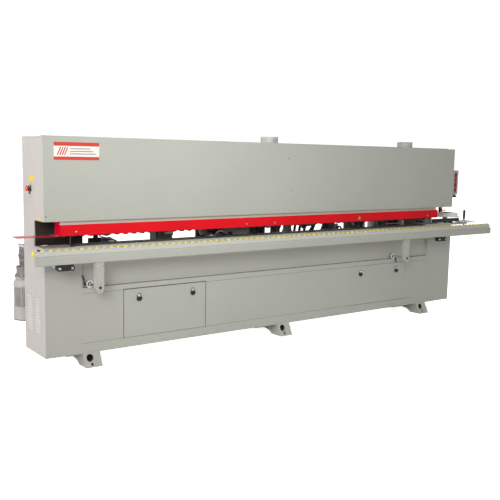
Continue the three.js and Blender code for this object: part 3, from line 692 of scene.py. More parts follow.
def clamp_parts():
    """The chrome collars on the hanging brackets' rods, with a white ring on each face as painted
    highlight, and their clamp levers.
    """
    for side, sign, rise in (("left", -1, 1), ("right", 1, -1)):
        x, z = middle("clamp_collar_" + side).x, HANGER_ROD_Z
        collar = Build()
        collar.ring("Y", x, z, 12.5, 27, -14, -0.4, CHROME, 40)
        # White ring on the collar's face: painted highlight of the chrome.
        collar.ring("Y", x, z, 17.5, 26.5, -16, -13.5, WHITE, 40)
        collar.ring("Y", x, z, 12.6, 17.5, -15, -13.5, BLACK_OXIDE, 40)
        for spot in circle(x, z, 22, 3, 90):
            collar.cap_screw("Y", *spot, 2.6, -16, -1.6, BLACK_OXIDE)
        collar.ring("Y", x, z, 12.5, 21.5, -0.4, 19, STEEL_Y, 32)
        finish_piece("clamp_ring_" + side, collar, "root", ["clamp_collar_" + side], 0.8)

        lever = Build()
        near, far = x + sign * 27.5, x + sign * 44
        lever.rod("X", -8, z, 8.5, near, far, BLACK, 28, 1.5)
        lever.rod("X", -8, z, 4, far, far + sign * 2.5, ZINC, 16)
        path = [(x + sign * out, -8, z + rise * up) for out, up in ((36, 0), (39, 20), (46, 44), (54, 62))]
        lever.tube(path, 5.4, BLACK, 14)
        lever.ball(*path[-1], 6.6, BLACK)
        finish_piece("clamp_handle_" + side, lever, "lever_" + side,
                     ["clamp_lever_" + side], 0.4)


roller_beam()
roller_row()
bracket_details()
guide_blocks()
clamp_parts()


# ---------------------------------------------------------------- doors, latches and feet
def latches():
    """A plate, a black turning part and a zinc dome for each door latch."""
    for i, body in enumerate(("latch_a", "latch_b", "latch_c", "latch_d")):
        node = "latch_%d" % (i + 1)
        x, z = middle(node).x, middle(node).z
        build = Build()
        plate = arc(x, z - 9, 22, 180, 360, 22) + arc(x, z + 14, 17, 0, 180, 18)
        build.prism("Y", plate, -2.2, -0.4, DARK_ENAMEL)
        build.lathe("Y", x, z - 9, [(20, -2), (21.5, -3), (21.5, -9), (18, -13), (9, -14.5)], BLACK, 40)
        build.ring("Y", x, z - 9, 4, 7, -14, -17.5, BLACK, 28)
        dome = [(14.5, -2), (15, -3), (14.4, -9), (10.5, -14), (5, -17), (1, -18)]
        build.lathe("Y", x, z + 14, dome, ZINC, 36)
        finish_piece("latch_handle_%d" % (i + 1), build, body, [node], 0.8)


def foot_details():
    """Dark linings and end discs in the transport holes as painted shade, and the anchor studs beside them
    in rings of the same painted shade.
    """
    for name in ("left", "middle", "right"):
        x = middle("foot_" + name).x
        build = Build()
        # Dark linings and end discs here, and the dark rings round the studs below: painted shade inside
        # the holes.
        for near, far in ((-8, 59), (408, 341)):
            build.ring("Y", x - 20, 64, 26, 27.9, near, far, DARK_COAT_AND_SHADE, 40)
            build.rod("Y", x - 20, 64, 27, far, far - math.copysign(2, far - near), DARK_COAT_AND_SHADE, 36)
        for near, far in ((-36, 59), (436, 341)):
            build.ring("Y", x - 12, 21, 8.6, 10.9, near, far, DARK_COAT_AND_SHADE, 28)
            build.rod("Y", x - 12, 21, 6, near, far, BLACK_OXIDE, 18)
        finish_piece("foot_holes_" + name, build, "root", (), 0.0)


latches()
foot_details()


# ---------------------------------------------------------------- feed chain
CHAIN_Z = 765.0
CHAIN_LEFT = 290.0
CHAIN_RIGHT = 4220.0
CHAIN_OUTER = 135.0
CHAIN_MIDDLE = 120.0


def on_loop(distance, radius):
    """Place and heading on the chain's loop, a given way round from its top left."""
    straight = CHAIN_RIGHT - CHAIN_LEFT
    turn = math.pi * CHAIN_MIDDLE
    if distance < straight:
        return CHAIN_LEFT + distance, CHAIN_Z + radius, 0.0
    distance -= straight
    if distance < turn:
        angle = math.pi / 2 - distance / CHAIN_MIDDLE
        return *around(CHAIN_RIGHT, CHAIN_Z, radius, angle), angle - math.pi / 2
    distance -= turn
    if distance < straight:
        return CHAIN_RIGHT - distance, CHAIN_Z - radius, math.pi
    distance -= straight
    angle = -math.pi / 2 - distance / CHAIN_MIDDLE
    return *around(CHAIN_LEFT, CHAIN_Z, radius, angle), angle - math.pi / 2


def feed_chain():
    """Rubber-faced pads on a roller chain, one pad to a link."""
    count = 170
    loop = 2 * (CHAIN_RIGHT - CHAIN_LEFT) + 2 * math.pi * CHAIN_MIDDLE
    pitch = loop / count
    build = Build()

    def bar(along, height, y, material):
        """A block on the link: ranges along the chain, and above its middle line."""
        (start, end), (low, high) = along, height
        outline = spun(*here, ((start, low), (end, low), (end, high), (start, high)))
        build.prism("Y", outline, *y, material)

    for link in range(count):
        here = on_loop(link * pitch, CHAIN_MIDDLE)
        top = CHAIN_OUTER - CHAIN_MIDDLE
        bar((-23.5, 23.5), (1.5, top - 3.4), (34, 92), PAD)
        for rib in range(4):
            start = -22.5 + rib * 11.6
            bar((start, start + 8.4), (top - 3.6, top - 0.2), (34.5, 91.5), PAD)
        offset = 2.5 if link % 2 else 0.0
        for y in ((45 + offset, 47.4 + offset), (78.6 - offset, 81 - offset)):
            bar((-33, 33) if link % 2 else (-24, 24), (-11, 2), y, CHAIN_STEEL)
        build.rod("Y", here[0], here[1], 6.2, 43, 83, CHAIN_STEEL, 10)
    finish_piece("feed_chain_links", build, "root", ["feed_chain"], 0.0)


feed_chain()


# ---------------------------------------------------------------- pressure beam
COVER = span("pressure_cover")
WHEEL_Z = 983.0
WHEEL_R = 30.0
WHEEL_PITCH = 70.0
FIRST_WHEEL = 160.0
WHEEL_COUNT = 57


def pressure_wheels():
    """Rubber wheels with white hubs, each hanging from its own arm."""
    build = Build()
    for i in range(WHEEL_COUNT):
        x = FIRST_WHEEL + i * WHEEL_PITCH
        build.lathe("Y", x, WHEEL_Z, [
            (13, 43), (19, 42), (28, 42), (WHEEL_R, 44.5), (WHEEL_R, 79.5), (28, 82), (19, 82), (13, 81),
        ], TYRE, 28)
        hub = [(5, 40.5), (12, 41), (13.5, 43), (13.5, 81), (12, 83), (5, 83.5)]
        build.lathe("Y", x, WHEEL_Z, hub, WHITE, 20)
        build.rod("Y", x, WHEEL_Z, 4, 39.4, 84, ZINC, 10)
        arm = [(x - 5, WHEEL_Z - 6), (x + 5, WHEEL_Z - 6), (x + 9, 1013), (x - 9, 1013)]
        build.prism("Y", arm, 39.9, 41.2, DARK_ENAMEL)
    build.box((128, 4142), (40, 84), (1013, 1014.4), DARK_ENAMEL)
    finish_piece("pressure_wheel_row", build, "pressure_carriage",
                 ["pressure_wheels"], 0.0)


def cover_details():
    """Screws and turned-in lower edge of the red strip, its two end faces in a darker red as painted shade,
    and a plain caution triangle.
    """
    low, high = COVER
    build = Build()
    for x in (238, 1733, 2032, 3992):
        build.lathe("Y", x, 993, [(7.5, -0.1), (7.2, -2.2), (4.5, -4.0)], ZINC, 20)
        build.ring("Y", x, 993, 7, 9.5, -1.0, 0, RED, 24)
    build.box((low.x + 6, high.x), (0.4, 16), (967, 969), RED)
    # Right end face in a darker red: painted shade.
    build.box((high.x - 1.6, high.x), (0.4, 28), (967, 1044), DEEP_RED_AND_SHADE)
    finish_piece("cover_screws", build, "pressure_carriage", (), 0.3)

    sticker = Build()
    x, z, size = 3035, 999, 31
    triangle = [(x - size, z - size * 0.62), (x + size, z - size * 0.62), (x, z + size * 0.98)]
    inside = [(x + (a - x) * 0.72, z + (b - z) * 0.72) for a, b in triangle]
    sticker.prism("Y", triangle, -0.5, 0.1, PRINT_BLACK)
    sticker.prism("Y", inside, -0.8, -0.4, PRINT_AMBER)
    finish_piece("cover_triangle", sticker, "pressure_carriage", (), 0.0)

    cap = Build()
    # Left end face in a darker red: painted shade.
    cap.box((low.x - 0.6, low.x), (1, 104), (968, 1044), DEEP_RED_AND_SHADE)
    finish_piece("cover_end_face", cap, "pressure_carriage", (), 0.0)


def outfeed_guard():
    """The red acrylic flap at the outfeed end, and its hinge leaves."""
    low, high = span("outfeed_guard")
    build = Build()
    build.prism("Z", rounded((low.x, high.x), (low.y, high.y), 12), low.z, high.z, ACRYLIC)
    finish_piece("guard_sheet", build, "guard_flap", ["outfeed_guard"], 0.5)
    hinge = Build()
    for y in (14, 78):
        hinge.box((high.x - 34, high.x - 2), (y, y + 26), (high.z, high.z + 1.6), ZINC)
        for dy in (6, 20):
            hinge.cap_screw("Z", high.x - 24, y + dy, 3.4, high.z + 1.6, 2.4, BLACK_OXIDE)
    finish_piece("guard_hinge_leaves", hinge, "guard_flap", (), 0.3)


def infeed_switch():
    """The red lever that the panel pushes, and the case it turns on."""
    low, high = span("infeed_switch")
    build = Build()
    x, z = 4262, 1040
    build.rod("Y", x, z, 8, 37.5, 47.4, RED_PLASTIC, 24, 1.0)
    build.prism("Y", [(4254, 1040), (4257, 1032), (4262, 1028), (4316, 1026), (4322, 1030), (4316, 1034),
                      (4268, 1036), (4266, 1046)], 40, 45, RED_PLASTIC)
    build.rod("Y", 4317, 1030, 5, 38.5, 46.5, RED_PLASTIC, 20)
    build.cap_screw("Y", x, z, 3.4, 37.5, -2.4, ZINC)
    finish_piece("switch_arm_detail", build, "switch_arm", ["switch_lever"], 0.5)
    case = Build()
    case.box((low.x + 2, high.x - 2), (low.y - 0.6, low.y + 1), (1046, high.z - 6), ORANGE)
    case.box((4246, 4278), (49, 72), (1008, 1052), BLACK)
    case.box((4250, 4274), (47.8, 49.4), (1012, 1022), ORANGE)
    for dz in (1052, 1070):
        case.cap_screw("Y", low.x + 6, dz, 2, low.y - 0.6, -1.2, ZINC)
    case.tube([(4262, 66, 1078), (4262, 90, 1076), (4240, 110, 1078), (4200, 112, 1079)], 4, CABLE)
    finish_piece("switch_case_details", case, "pressure_carriage", (), 0.2)


def beam_details():
    """Bolt heads and adjusting screws of the pressure beam, and a near-black sheet in its left end as
    painted shade.
    """
    build = Build()
    for x in range(240, 4200, 360):
        build.hex_bolt("Z", x, 112, 9, 1140, 6, ZINC)
    for x in (82, 4288):
        build.rod("Z", x, 206, 16, 1140, 1172, BLACK_OXIDE, 28, 1.5)
        build.rod("Z", x, 206, 9, 1170, 1230, ZINC, 20)
        for y in (184, 228):
            build.hex_bolt("Z", x, y, 6, 1140, 5, ZINC)
    for x in (60, 4310):
        outward = -1 if x < 1000 else 1
        for y in (84, 140):
            build.cap_screw("X", y, 1110, 6, x, outward * 5, BLACK_OXIDE)
    finish_piece("pressure_beam_bolts", build, "pressure_carriage", (), 0.4)
    # A near-black sheet where the beam's left end shows only shade: painted shade.
    shutter = Build()
    shutter.box((50, 112), (186, 190), (1029, 1080), INSIDE_SHADE)
    shutter.box((50, 112), (168, 190), (1078, 1080), INSIDE_SHADE)
    finish_piece("beam_end_shade_sheet", shutter, "pressure_carriage", (), 0.4)


pressure_wheels()
cover_details()
outfeed_guard()
infeed_switch()
beam_details()


# ---------------------------------------------------------------- drive
MOTOR_X, MOTOR_Y = 57.0, 520.0
GEARBOX_SHAFT = (512.0, 770.0)  # y and z of its output shaft


def finned_motor(build, axis, a, b, start, end, radius, shell, cover, fins=28):
    """A squirrel-cage motor lying along an axis, its shaft end at start."""
    way = 1 if end > start else -1
    length = abs(end - start)

    def place(share):
        return start + way * share * length

    build.lathe(axis, a, b, [
        (radius * 0.55, place(0)), (radius * 0.98, place(0.01)), (radius, place(0.05)),
        (radius * 0.96, place(0.12)), (radius * 0.82, place(0.14)), (radius * 0.82, place(0.68)),
    ], shell, 40)
    for i in range(fins):
        inner, outer, half = radius * 0.8, radius * 0.965, radius * 0.022
        outline = ((inner, -half), (outer, -half * 0.7), (outer, half * 0.7), (inner, half))
        build.prism(axis, spun(a, b, 2 * math.pi * i / fins, outline), place(0.12), place(0.70), shell)
    build.lathe(axis, a, b, [
        (radius * 0.9, place(0.68)), (radius, place(0.70)), (radius, place(0.95)),
        (radius * 0.93, place(1.0)),
    ], cover, 40)


def fan_cover(build, bottom, top, radius):
    """The drive motor's fan cover, open below behind rings and spokes."""
    x, y = MOTOR_X, MOTOR_Y
    build.ring("Z", x, y, radius - 2.5, radius, bottom + 6, top, ENAMEL, 44)
    build.lathe("Z", x, y, [(radius - 2, top - 2), (radius - 6, top)], ENAMEL, 44)
    for inner in range(24, 92, 13):
        build.ring("Z", x, y, inner, inner + 3.2, bottom, bottom + 3, BLACK, 36)
    for spoke in range(6):
        outline = ((2 - radius, -2), (radius - 2, -2), (radius - 2, 2), (2 - radius, 2))
        build.prism("Z", spun(x, y, math.pi * spoke / 6, outline), bottom + 1, bottom + 5, BLACK)
    build.ring("Z", x, y, radius - 8, radius, bottom, bottom + 7, BLACK, 44)


def drive_motor():
    """The upright motor behind the outfeed end: fan cover, fins, flange, terminal box and cable."""
    build = Build()
    x, y = MOTOR_X, MOTOR_Y
    fan_cover(build, 290, 384, 98)
    build.lathe("Z", x, y, [(60, 382), (97, 383), (98, 388), (98, 397), (80, 398)], ENAMEL, 44)
    build.rod("Z", x, y, 85.5, 396, 544, ENAMEL, 44)
    for i in range(44):
        fin = ((84, -2.6), (94.5, -1.8), (94.5, 1.8), (84, 2.6))
        build.prism("Z", spun(x, y, 2 * math.pi * i / 44, fin), 397, 541, ENAMEL)
    build.lathe("Z", x, y, [(80, 540), (96, 541), (98, 548), (96, 574), (86, 592), (74, 604), (74, 606),
                            (86, 607), (86, 618)], ENAMEL, 44)
    for flange_bolt, tie_rod in zip(circle(x, y, 78, 4, 45), circle(x, y, 90, 4, 45)):
        build.hex_bolt("Z", *flange_bolt, 5, 607, -5, ZINC)
        build.rod("Z", *tie_rod, 3, 540, 400, ZINC, 10)
    build.box((x + 76, x + 134), (y - 36, y + 36), (440, 520), ENAMEL)
    build.box((x + 132, x + 138), (y - 33, y + 33), (443, 517), DARK_ENAMEL)
    for dy in (-27, 27):
        for z in (449, 511):
            build.cap_screw("X", y + dy, z, 2.8, x + 138, 2, ZINC)
    build.lathe("Z", x + 106, y + 14, [(13, 440), (13, 430), (11, 428), (11, 420), (7, 418)], BLACK, 20)
    build.tube([(x + 106, y + 14, 424), (x + 106, y + 8, 380), (x + 112, y - 20, 320),
                (x + 100, y - 80, 260), (x + 90, y - 112, 236)], 6, CABLE)
    finish_piece("drive_motor_detail", build, "root", ["drive_motor"], 0.6)


def gearbox():
    """The worm gearbox on the motor, and the guard over its drive to the chain."""
    build = Build()
    x, y = MOTOR_X, MOTOR_Y
    build.prism("Z", rounded((18, 140), (434, 576), 14), 694, 846, CAST_GREY)
    build.prism("Z", rounded((12, 146), (430, 582), 10), 846, 857, PALE_COAT_AND_HIGHLIGHT)
    neck = [(84, 619), (86, 620), (86, 630), (76, 634), (72, 660), (76, 694)]
    build.lathe("Z", x, y, neck, CAST_GREY, 44)
    for spot in circle(x, y, 78, 4, 45):
        build.hex_bolt("Z", *spot, 5, 630, 5, ZINC)
    for face, out in ((18, -1), (140, 1)):
        build.rod("X", *GEARBOX_SHAFT, 56, face, face + out * 5, CAST_GREY, 40, 1.5)
        build.rod("X", *GEARBOX_SHAFT, 24, face + out * 5, face + out * 7, DARK_ENAMEL, 32)
        for spot in circle(*GEARBOX_SHAFT, 46, 6):
            build.cap_screw("X", *spot, 4.5, face + out * 5, out * 4, BLACK_OXIDE)
        for step in range(4):
            z = 706 + step * 4
            build.box(sorted((face, face + out * 3)), (450, 562), (z, z + 1.8), CAST_GREY)
    grid(build.hex_bolt, "Z", (22, 136), (440, 572), 6, 857, 5, ZINC)
    build.rod("Z", 36, 470, 10.6, 856, 870, BLACK, 24, 1.0)
    build.rod("Z", 36, 470, 8, 869, 896, DARK_ENAMEL, 24, 1.5)
    build.prism("Y", rounded((62, 350), (690, 840), 20), 402.5, 432, COAT)
    build.prism("Y", rounded((72, 340), (700, 830), 16), 400.5, 403, COAT)
    grid(build.hex_bolt, "Y", (78, 206, 334), (702, 828), 5, 432, 4, ZINC)
    finish_piece("gearbox_detail", build, "root", ["gearbox"], 1.0)


drive_motor()
gearbox()


# ---------------------------------------------------------------- controls
def emergency_stop():
    """The stop button's black and yellow housing on the left end, and its red mushroom."""
    low, high = span("emergency_base")
    y, z = middle("emergency_base").yz
    base = Build()
    base.prism("X", rounded((low.y, high.y), (low.z + 4, high.z - 4), 7), -10, -0.3, BLACK)
    base.prism("X", rounded((low.y + 2, high.y - 2), (z + 6, high.z - 5), 5), -11, -9, SAFETY_YELLOW)
    base.ring("X", y, z, 10, 20, -11.8, -9.6, BLACK, 36)
    for dz in (-23, 23):
        base.cap_screw("X", y + 16, z + dz * 0.8, 2.4, -10, -1.4, ZINC)
    base.tube([(-6, y, z - 26), (-7, y, z - 33), (-5, y + 2, z - 39), (-1, y + 3, z - 42)], 3.6, CABLE)
    finish_piece("emergency_housing", base, "root", ["emergency_base"], 0.8)
    button = Build()
    mushroom = [(9, -9), (9, -20), (12, -22), (19, -23), (20.5, -25), (20.5, -29), (19, -32),
                (14, -34.5), (7, -35)]
    button.lathe("X", y, z, mushroom, RED_PLASTIC, 40)
    for i in range(3):
        start = 120 * i + 20
        outline = arc(y, z, 15.5, start, start + 70, 7) + arc(y, z, 12.5, start + 70, start, 7)
        button.prism("X", outline, -34.9, -33.4, PRINT_WHITE)
    finish_piece("emergency_mushroom", button, "emergency_stop",
                 ["emergency_button"], 0.3)


KEY_Z = 1250.0
START_Y, STOP_Y, SWITCH_Y = 150.0, 100.0, 50.0


def control_panel():
    """The swinging control box: keys on its infeed face, a red film on its narrow front."""
    low, high = span("control_box")
    x0, x1, y1, z0, z1 = low.x, high.x, high.y, low.z, high.z
    build = Build()
    film = Build()
    build.prism("X", rounded((0.0, y1), (z0, z1), 8), x0, x1 - 1.0, COAT)
    build.prism("X", rounded((4, y1 - 4), (z0 + 4, z1 - 4), 6), x1 - 1.2, x1 - 0.4, PRINT_GREY)
    film.prism("X", rounded((10, y1 - 10), (z0 + 80, z1 - 10), 5), x1 - 0.4, x1, FILM_RED)
    film.prism("X", rounded((24, y1 - 24), (z1 - 78, z1 - 24), 3), x1, x1 + 1, PRINT_BLACK)
    for row in range(2):
        for column in range(6):
            y = 24 + column * 26
            z = z1 - 104 - row * 26
            film.prism("X", rounded((y, y + 18), (z, z + 16), 3), x1, x1 + 1.4, WHITE)
    film.prism("Y", rounded((x0 + 8, x1 - 22), (z0 + 16, z1 - 18), 4), -0.6, 0.1, FILM_RED)
    film_x = (x0 + x1) / 2 - 7
    for z, half in ((z0 + 46, 13), (z0 + 96, 17), (z0 + 148, 13), (z0 + 196, 16)):
        film.rod("Y", film_x, z, half, -0.6, -5, DARK_COAT_AND_SHADE, 28, 1.2)
        film.ring("Y", film_x, z, half, half + 2, -0.6, -1.8, DEEP_RED_AND_SHADE, 28)
    for y in (START_Y, STOP_Y, SWITCH_Y):
        film.ring("X", y, KEY_Z, 12.6, 16.5, x1 - 0.5, x1 + 2.6, CHROME, 32)
    film.rod("X", SWITCH_Y, KEY_Z, 11.5, x1 - 1, x1 + 3, BLACK, 28, 1.0)
    film.box((x1 + 2, x1 + 10), (SWITCH_Y - 3, SWITCH_Y + 3), (KEY_Z - 10, KEY_Z + 10), BLACK)
    grid(film.cap_screw, "X", (8, y1 - 8), (z0 + 8, z1 - 8), 2.6, x1 - 0.4, 1.6, ZINC)
    finish_piece("control_box_shell", build, "control_panel", ["control_box"], 1.0)
    finish_piece("control_box_face", film, "control_panel", (), 0.3)
    profile = [(11, x1 - 7), (12, x1 - 6.5), (12, x1 + 3.5), (10.8, x1 + 5.2), (9.5, x1 + 5.2),
               (8.5, x1 + 4.4)]
    for name, y, material, slot in (("start", START_Y, WHITE, "white_plastic"),
                                    ("stop", STOP_Y, RED_PLASTIC, "red_plastic")):
        key = Build()
        key.lathe("X", y, KEY_Z, profile, material, 36)
        finish_piece(name + "_key", key, name, [name + "_button"], 0.2)


def panel_knob():
    """The five-lobed knob that clamps the control box."""
    low, high = span("panel_knob")
    x, y = middle("panel_knob").xy
    build = Build()
    outline = []
    for i in range(60):
        angle = 2 * math.pi * i / 60
        outline.append(around(x, y, 22.0 + 2.0 * math.cos(5 * angle), angle))
    build.prism("Z", outline, low.z, high.z - 8, BLACK)
    build.lathe("Z", x, y, [(15, high.z - 8), (12, high.z)], BLACK, 28)
    build.rod("Z", x, y, 6, low.z - 1.5, low.z + 1, ZINC, 20)
    finish_piece("panel_star_knob", build, "knob", ["panel_knob"], 1.2)


emergency_stop()
control_panel()
panel_knob()


# ---------------------------------------------------------------- infeed end
def infeed_fence():
    """The grooved black fence at the infeed, with its bracket."""
    start = span("infeed_fence")[0].x
    end = start + 423
    build = Build()
    profile = [(118, 901), (140, 901), (140, 909), (135, 909), (135, 914), (140, 914), (140, 924),
               (135, 924), (135, 929), (140, 929), (140, 936), (118, 936)]
    build.prism("X", profile, start, end, BLACK)
    build.box((start, end), (117.2, 118), (903, 934), BLACK)
    build.box((4400, 4620), (139, 200), (901, 909), BLACK)
    for x in (4440, 4560):
        build.box((x, x + 30), (155, 195), (882.5, 902), BLACK)
        build.hex_bolt("Z", x + 15, 172, 7, 909, 5, ZINC)
    for x in range(4260, 4640, 90):
        build.cap_screw("Z", x, 129, 4, 936, 3, ZINC)
    finish_piece("fence_profile", build, "fence", ["infeed_fence"], 0.5)


def tape_reel():
    """A white disc with a coil of edging tape, held by a black hub with three arms."""
    x, y = middle("tape_reel").xy
    build = Build()
    disc = [(20, 944.5), (153, 944.5), (155, 946), (155, 949), (153, 950), (20, 950)]
    build.lathe("Z", x, y, disc, WHITE, 72)
    coil = []
    for i in range(12):
        radius = 133 - i * 1.2
        top = 984.2 + (i % 3) * 0.4
        coil += [(radius, top), (radius - 0.5, top - 0.9)]
    build.lathe("Z", x, y, [(133, 950)] + coil + [(60, 983.4), (60, 950)], TAPE, 96)
    build.lathe("Z", x, y, [(30, 950), (30, 990), (27, 992), (8, 992), (6, 989)], BLACK, 36)
    for i in range(3):
        arm = spun(x, y, math.radians(90 + 120 * i), ((26, -5), (66, -4), (66, 4), (26, 5)))
        build.prism("Z", arm, 984.8, 989, BLACK)
    finish_piece("tape_reel_detail", build, "reel", ["tape_reel"], 0.0)


def fence_handwheel():
    """The chrome handwheel with its upright handle."""
    radius = 117
    x, y = span("fence_handwheel")[1].x - radius, 172
    build = Build()
    rim = [(99, 888), (101, 886.4), (114, 886.4), (radius, 889), (radius, 891.6), (114, 893.8),
           (101, 893.8), (99, 892)]
    build.lathe("Z", x, y, rim, CHROME, 72)
    build.ring("Z", x, y, 99, 104, 887.4, 892.8, CHROME, 72)
    build.lathe("Z", x, y, [(24, 882.6), (26, 884), (26, 898), (22, 902), (9, 902)], STEEL_Z, 36)
    for i in range(3):
        spoke = spun(x, y, math.radians(30 + 120 * i), ((22, -9), (102, -6), (102, 6), (22, 9)))
        build.prism("Z", spoke, 888, 892.4, STEEL_Z)
    handle = [(9, 892), (9, 905), (7, 907), (7, 912), (11, 915), (13, 930), (13, 996), (11, 1007),
              (6, 1011), (2, 1011)]
    build.lathe("Z", x + 40, y + 30, handle, BLACK, 32)
    finish_piece("handwheel_detail", build, "handwheel", ["fence_handwheel"], 0.3)


def tape_table_details():
    """Bolts, shafts, brace and cable of the tape table."""
    build = Build()
    grid(build.hex_bolt, "X", (180, 330), (680, 760, 840), 8, 4386, 5, ZINC)
    build.rod("Z", 4600, 270, 25, 882, 944, STEEL_Z, 36, 1.0)
    build.rod("Z", 4800, 172, 12, 850, 862, STEEL_Z, 24)
    brace = [(4386, 862), (4640, 862), (4640, 850), (4400, 700), (4386, 700)]
    build.prism("Y", brace, 236, 242, COAT)
    build.tube([(4390, 200, 700), (4420, 230, 640), (4400, 300, 560), (4372, 330, 520)], 7, CABLE)
    finish_piece("tape_table_details", build, "root", (), 0.6)


infeed_fence()
tape_reel()
fence_handwheel()
tape_table_details()


# ---------------------------------------------------------------- working units
def gullets(a, b, tip, root, teeth):
    """The outline of a cutter or saw: each tooth rises steeply and falls back slowly."""
    shape = ((0.0, tip), (0.12, tip * 0.985), (0.5, root + (tip - root) * 0.55), (0.88, root))
    return [around(a, b, radius, 2 * math.pi * (tooth + share) / teeth)
            for tooth in range(teeth) for share, radius in shape]


def dust_hose(build, path, radius):
    """A ribbed extraction hose."""
    build.tube(path, radius, HOSE, 16, radius * 0.07)


BED = 800.3  # underside of the working units, just above the cabinet's deck
BUFF_CENTRES = {name: middle("buffing_wheel_" + name).xz for name in ("upper", "lower")}
TRIM_CENTRES = {name: middle("cutter_" + name).xz for name in ("upper", "lower")}


def buffing_unit():
    """Upper and lower buffing motors with their cotton wheels, and near-black sheets behind them as painted
    shade of the machine's inside.
    """
    build = Build()
    # Near-black sheets behind the wheels: painted shade of the unit's inside.
    build.boxes(INSIDE_SHADE, ((9, 56), (192, 197), (886, 1066)), ((56, 108), (192, 197), (886, 1030)),
                ((108, 368), (192, 197), (886, 1066)), ((100, 368), (192, 197), (811, 888)))
    build.boxes(DARK_ENAMEL, ((60, 680), (192, 330), (BED, 812.3)), ((470, 660), (318, 330), (811, 905)),
                ((514, 550), (318, 330), (904, 1040)))
    build.box((268, 274), (186, 192), (886, 1060), ENAMEL)
    grid(build.hex_bolt, "Y", (20, 150, 240, 350), (900, 1020), 5, 192, -4, BLACK_OXIDE)
    for x, z in BUFF_CENTRES.values():
        finned_motor(build, "Y", x, z, 172, 318, 45 if z > 900 else 43, ENAMEL, BLACK, 22)
        build.rod("Y", x, z, 15, 171.9, 174, BLACK_OXIDE, 24)
    for x, z in ((532, 1022), (640, 856)):
        build.box((x - 18, x + 18), (222, 272), (z - 8, z + 14), DARK_ENAMEL)
        build.tube([(x, 250, z + 12), (x + 18, 270, z + 30), (x + 22, 300, z + 20),
                    (x + 6, 322, z - 10)], 4.5, CABLE)
    x, z = BUFF_CENTRES["lower"]
    guard = arc(x - 24, z, 57, 40, 165, 18) + arc(x - 24, z, 53, 165, 40, 18)
    build.prism("Y", guard, 112, 172, BLACK)
    build.box((x - 30, x - 18), (172, 318), (z + 52, z + 57), DARK_ENAMEL)
    build.rod("Z", 650, 300, 11, 812, 900, STEEL_Z, 24)
    finish_piece("buffing_unit_detail", build, "root", ["buffing_unit"], 0.8)
    for name, (x, z) in BUFF_CENTRES.items():
        wheel = Build()
        profile = []
        for layer in range(7):
            y = 128.6 + layer * 4.4
            profile += [(45.5, y), (48 - 0.8 * (layer % 2), y + 1.2),
                        (48 - 0.5 * (layer % 3), y + 2.8), (45.8, y + 4)]
        wheel.lathe("Y", x, z, [(20, 128.2)] + profile + [(20, 160)], COTTON, 48)
        wheel.lathe("Y", x, z, [(22, 124.5), (23, 125.5), (23, 128.4)], STEEL_Y, 32)
        wheel.rod("Y", x, z, 11.5, 120, 171.5, STEEL_Y, 24, 1.0)
        wheel.hex_bolt("Y", x, z, 11, 124.5, -4.2, ZINC)
        finish_piece("buff_" + name + "_detail", wheel, "buff_" + name,
                     ["buffing_wheel_" + name], 0.0)


def scraper_unit():
    """The glue scraper's stand, block, copying disc and cylinders."""
    build = Build()
    build.box((985, 1134), (190, 290), (BED, 1060), DARK_ENAMEL)
    build.box((1000, 1120), (150, 190), (915, 1000), DARK_ENAMEL)
    build.box((1030, 1100), (124, 150), (930, 965), ALUMINIUM)
    build.box((1040, 1104), (124, 190), (850, 884), ALUMINIUM)
    grid(build.cap_screw, "Y", (1012, 1108), (927, 988), 5, 150, -4, BLACK_OXIDE)
    for x in (1000, 1060, 1120):
        build.hex_bolt("Y", x, 1036, 6, 190, -4, ZINC)
    build.lathe("Z", 1066, 136, [(15, 965), (17, 967), (17, 984), (14, 986)], ALUMINIUM, 32)
    for spot in circle(1066, 136, 16, 8):
        build.rod("Z", *spot, 2.4, 967, 984, BLACK, 10)
    for x in (1020, 1100):
        build.rod("Z", x, 240, 22, 1060, 1150, ALUMINIUM, 32, 1.5)
    dust_hose(build, [(1078, 280, 1000), (1078, 330, 1080), (1200, 340, 1260), (1700, 320, 1420),
                      (2060, 240, 1540), (2106, 200, 1640)], 34)
    finish_piece("scraper_unit_detail", build, "root", ["scraper_unit"], 0.8)


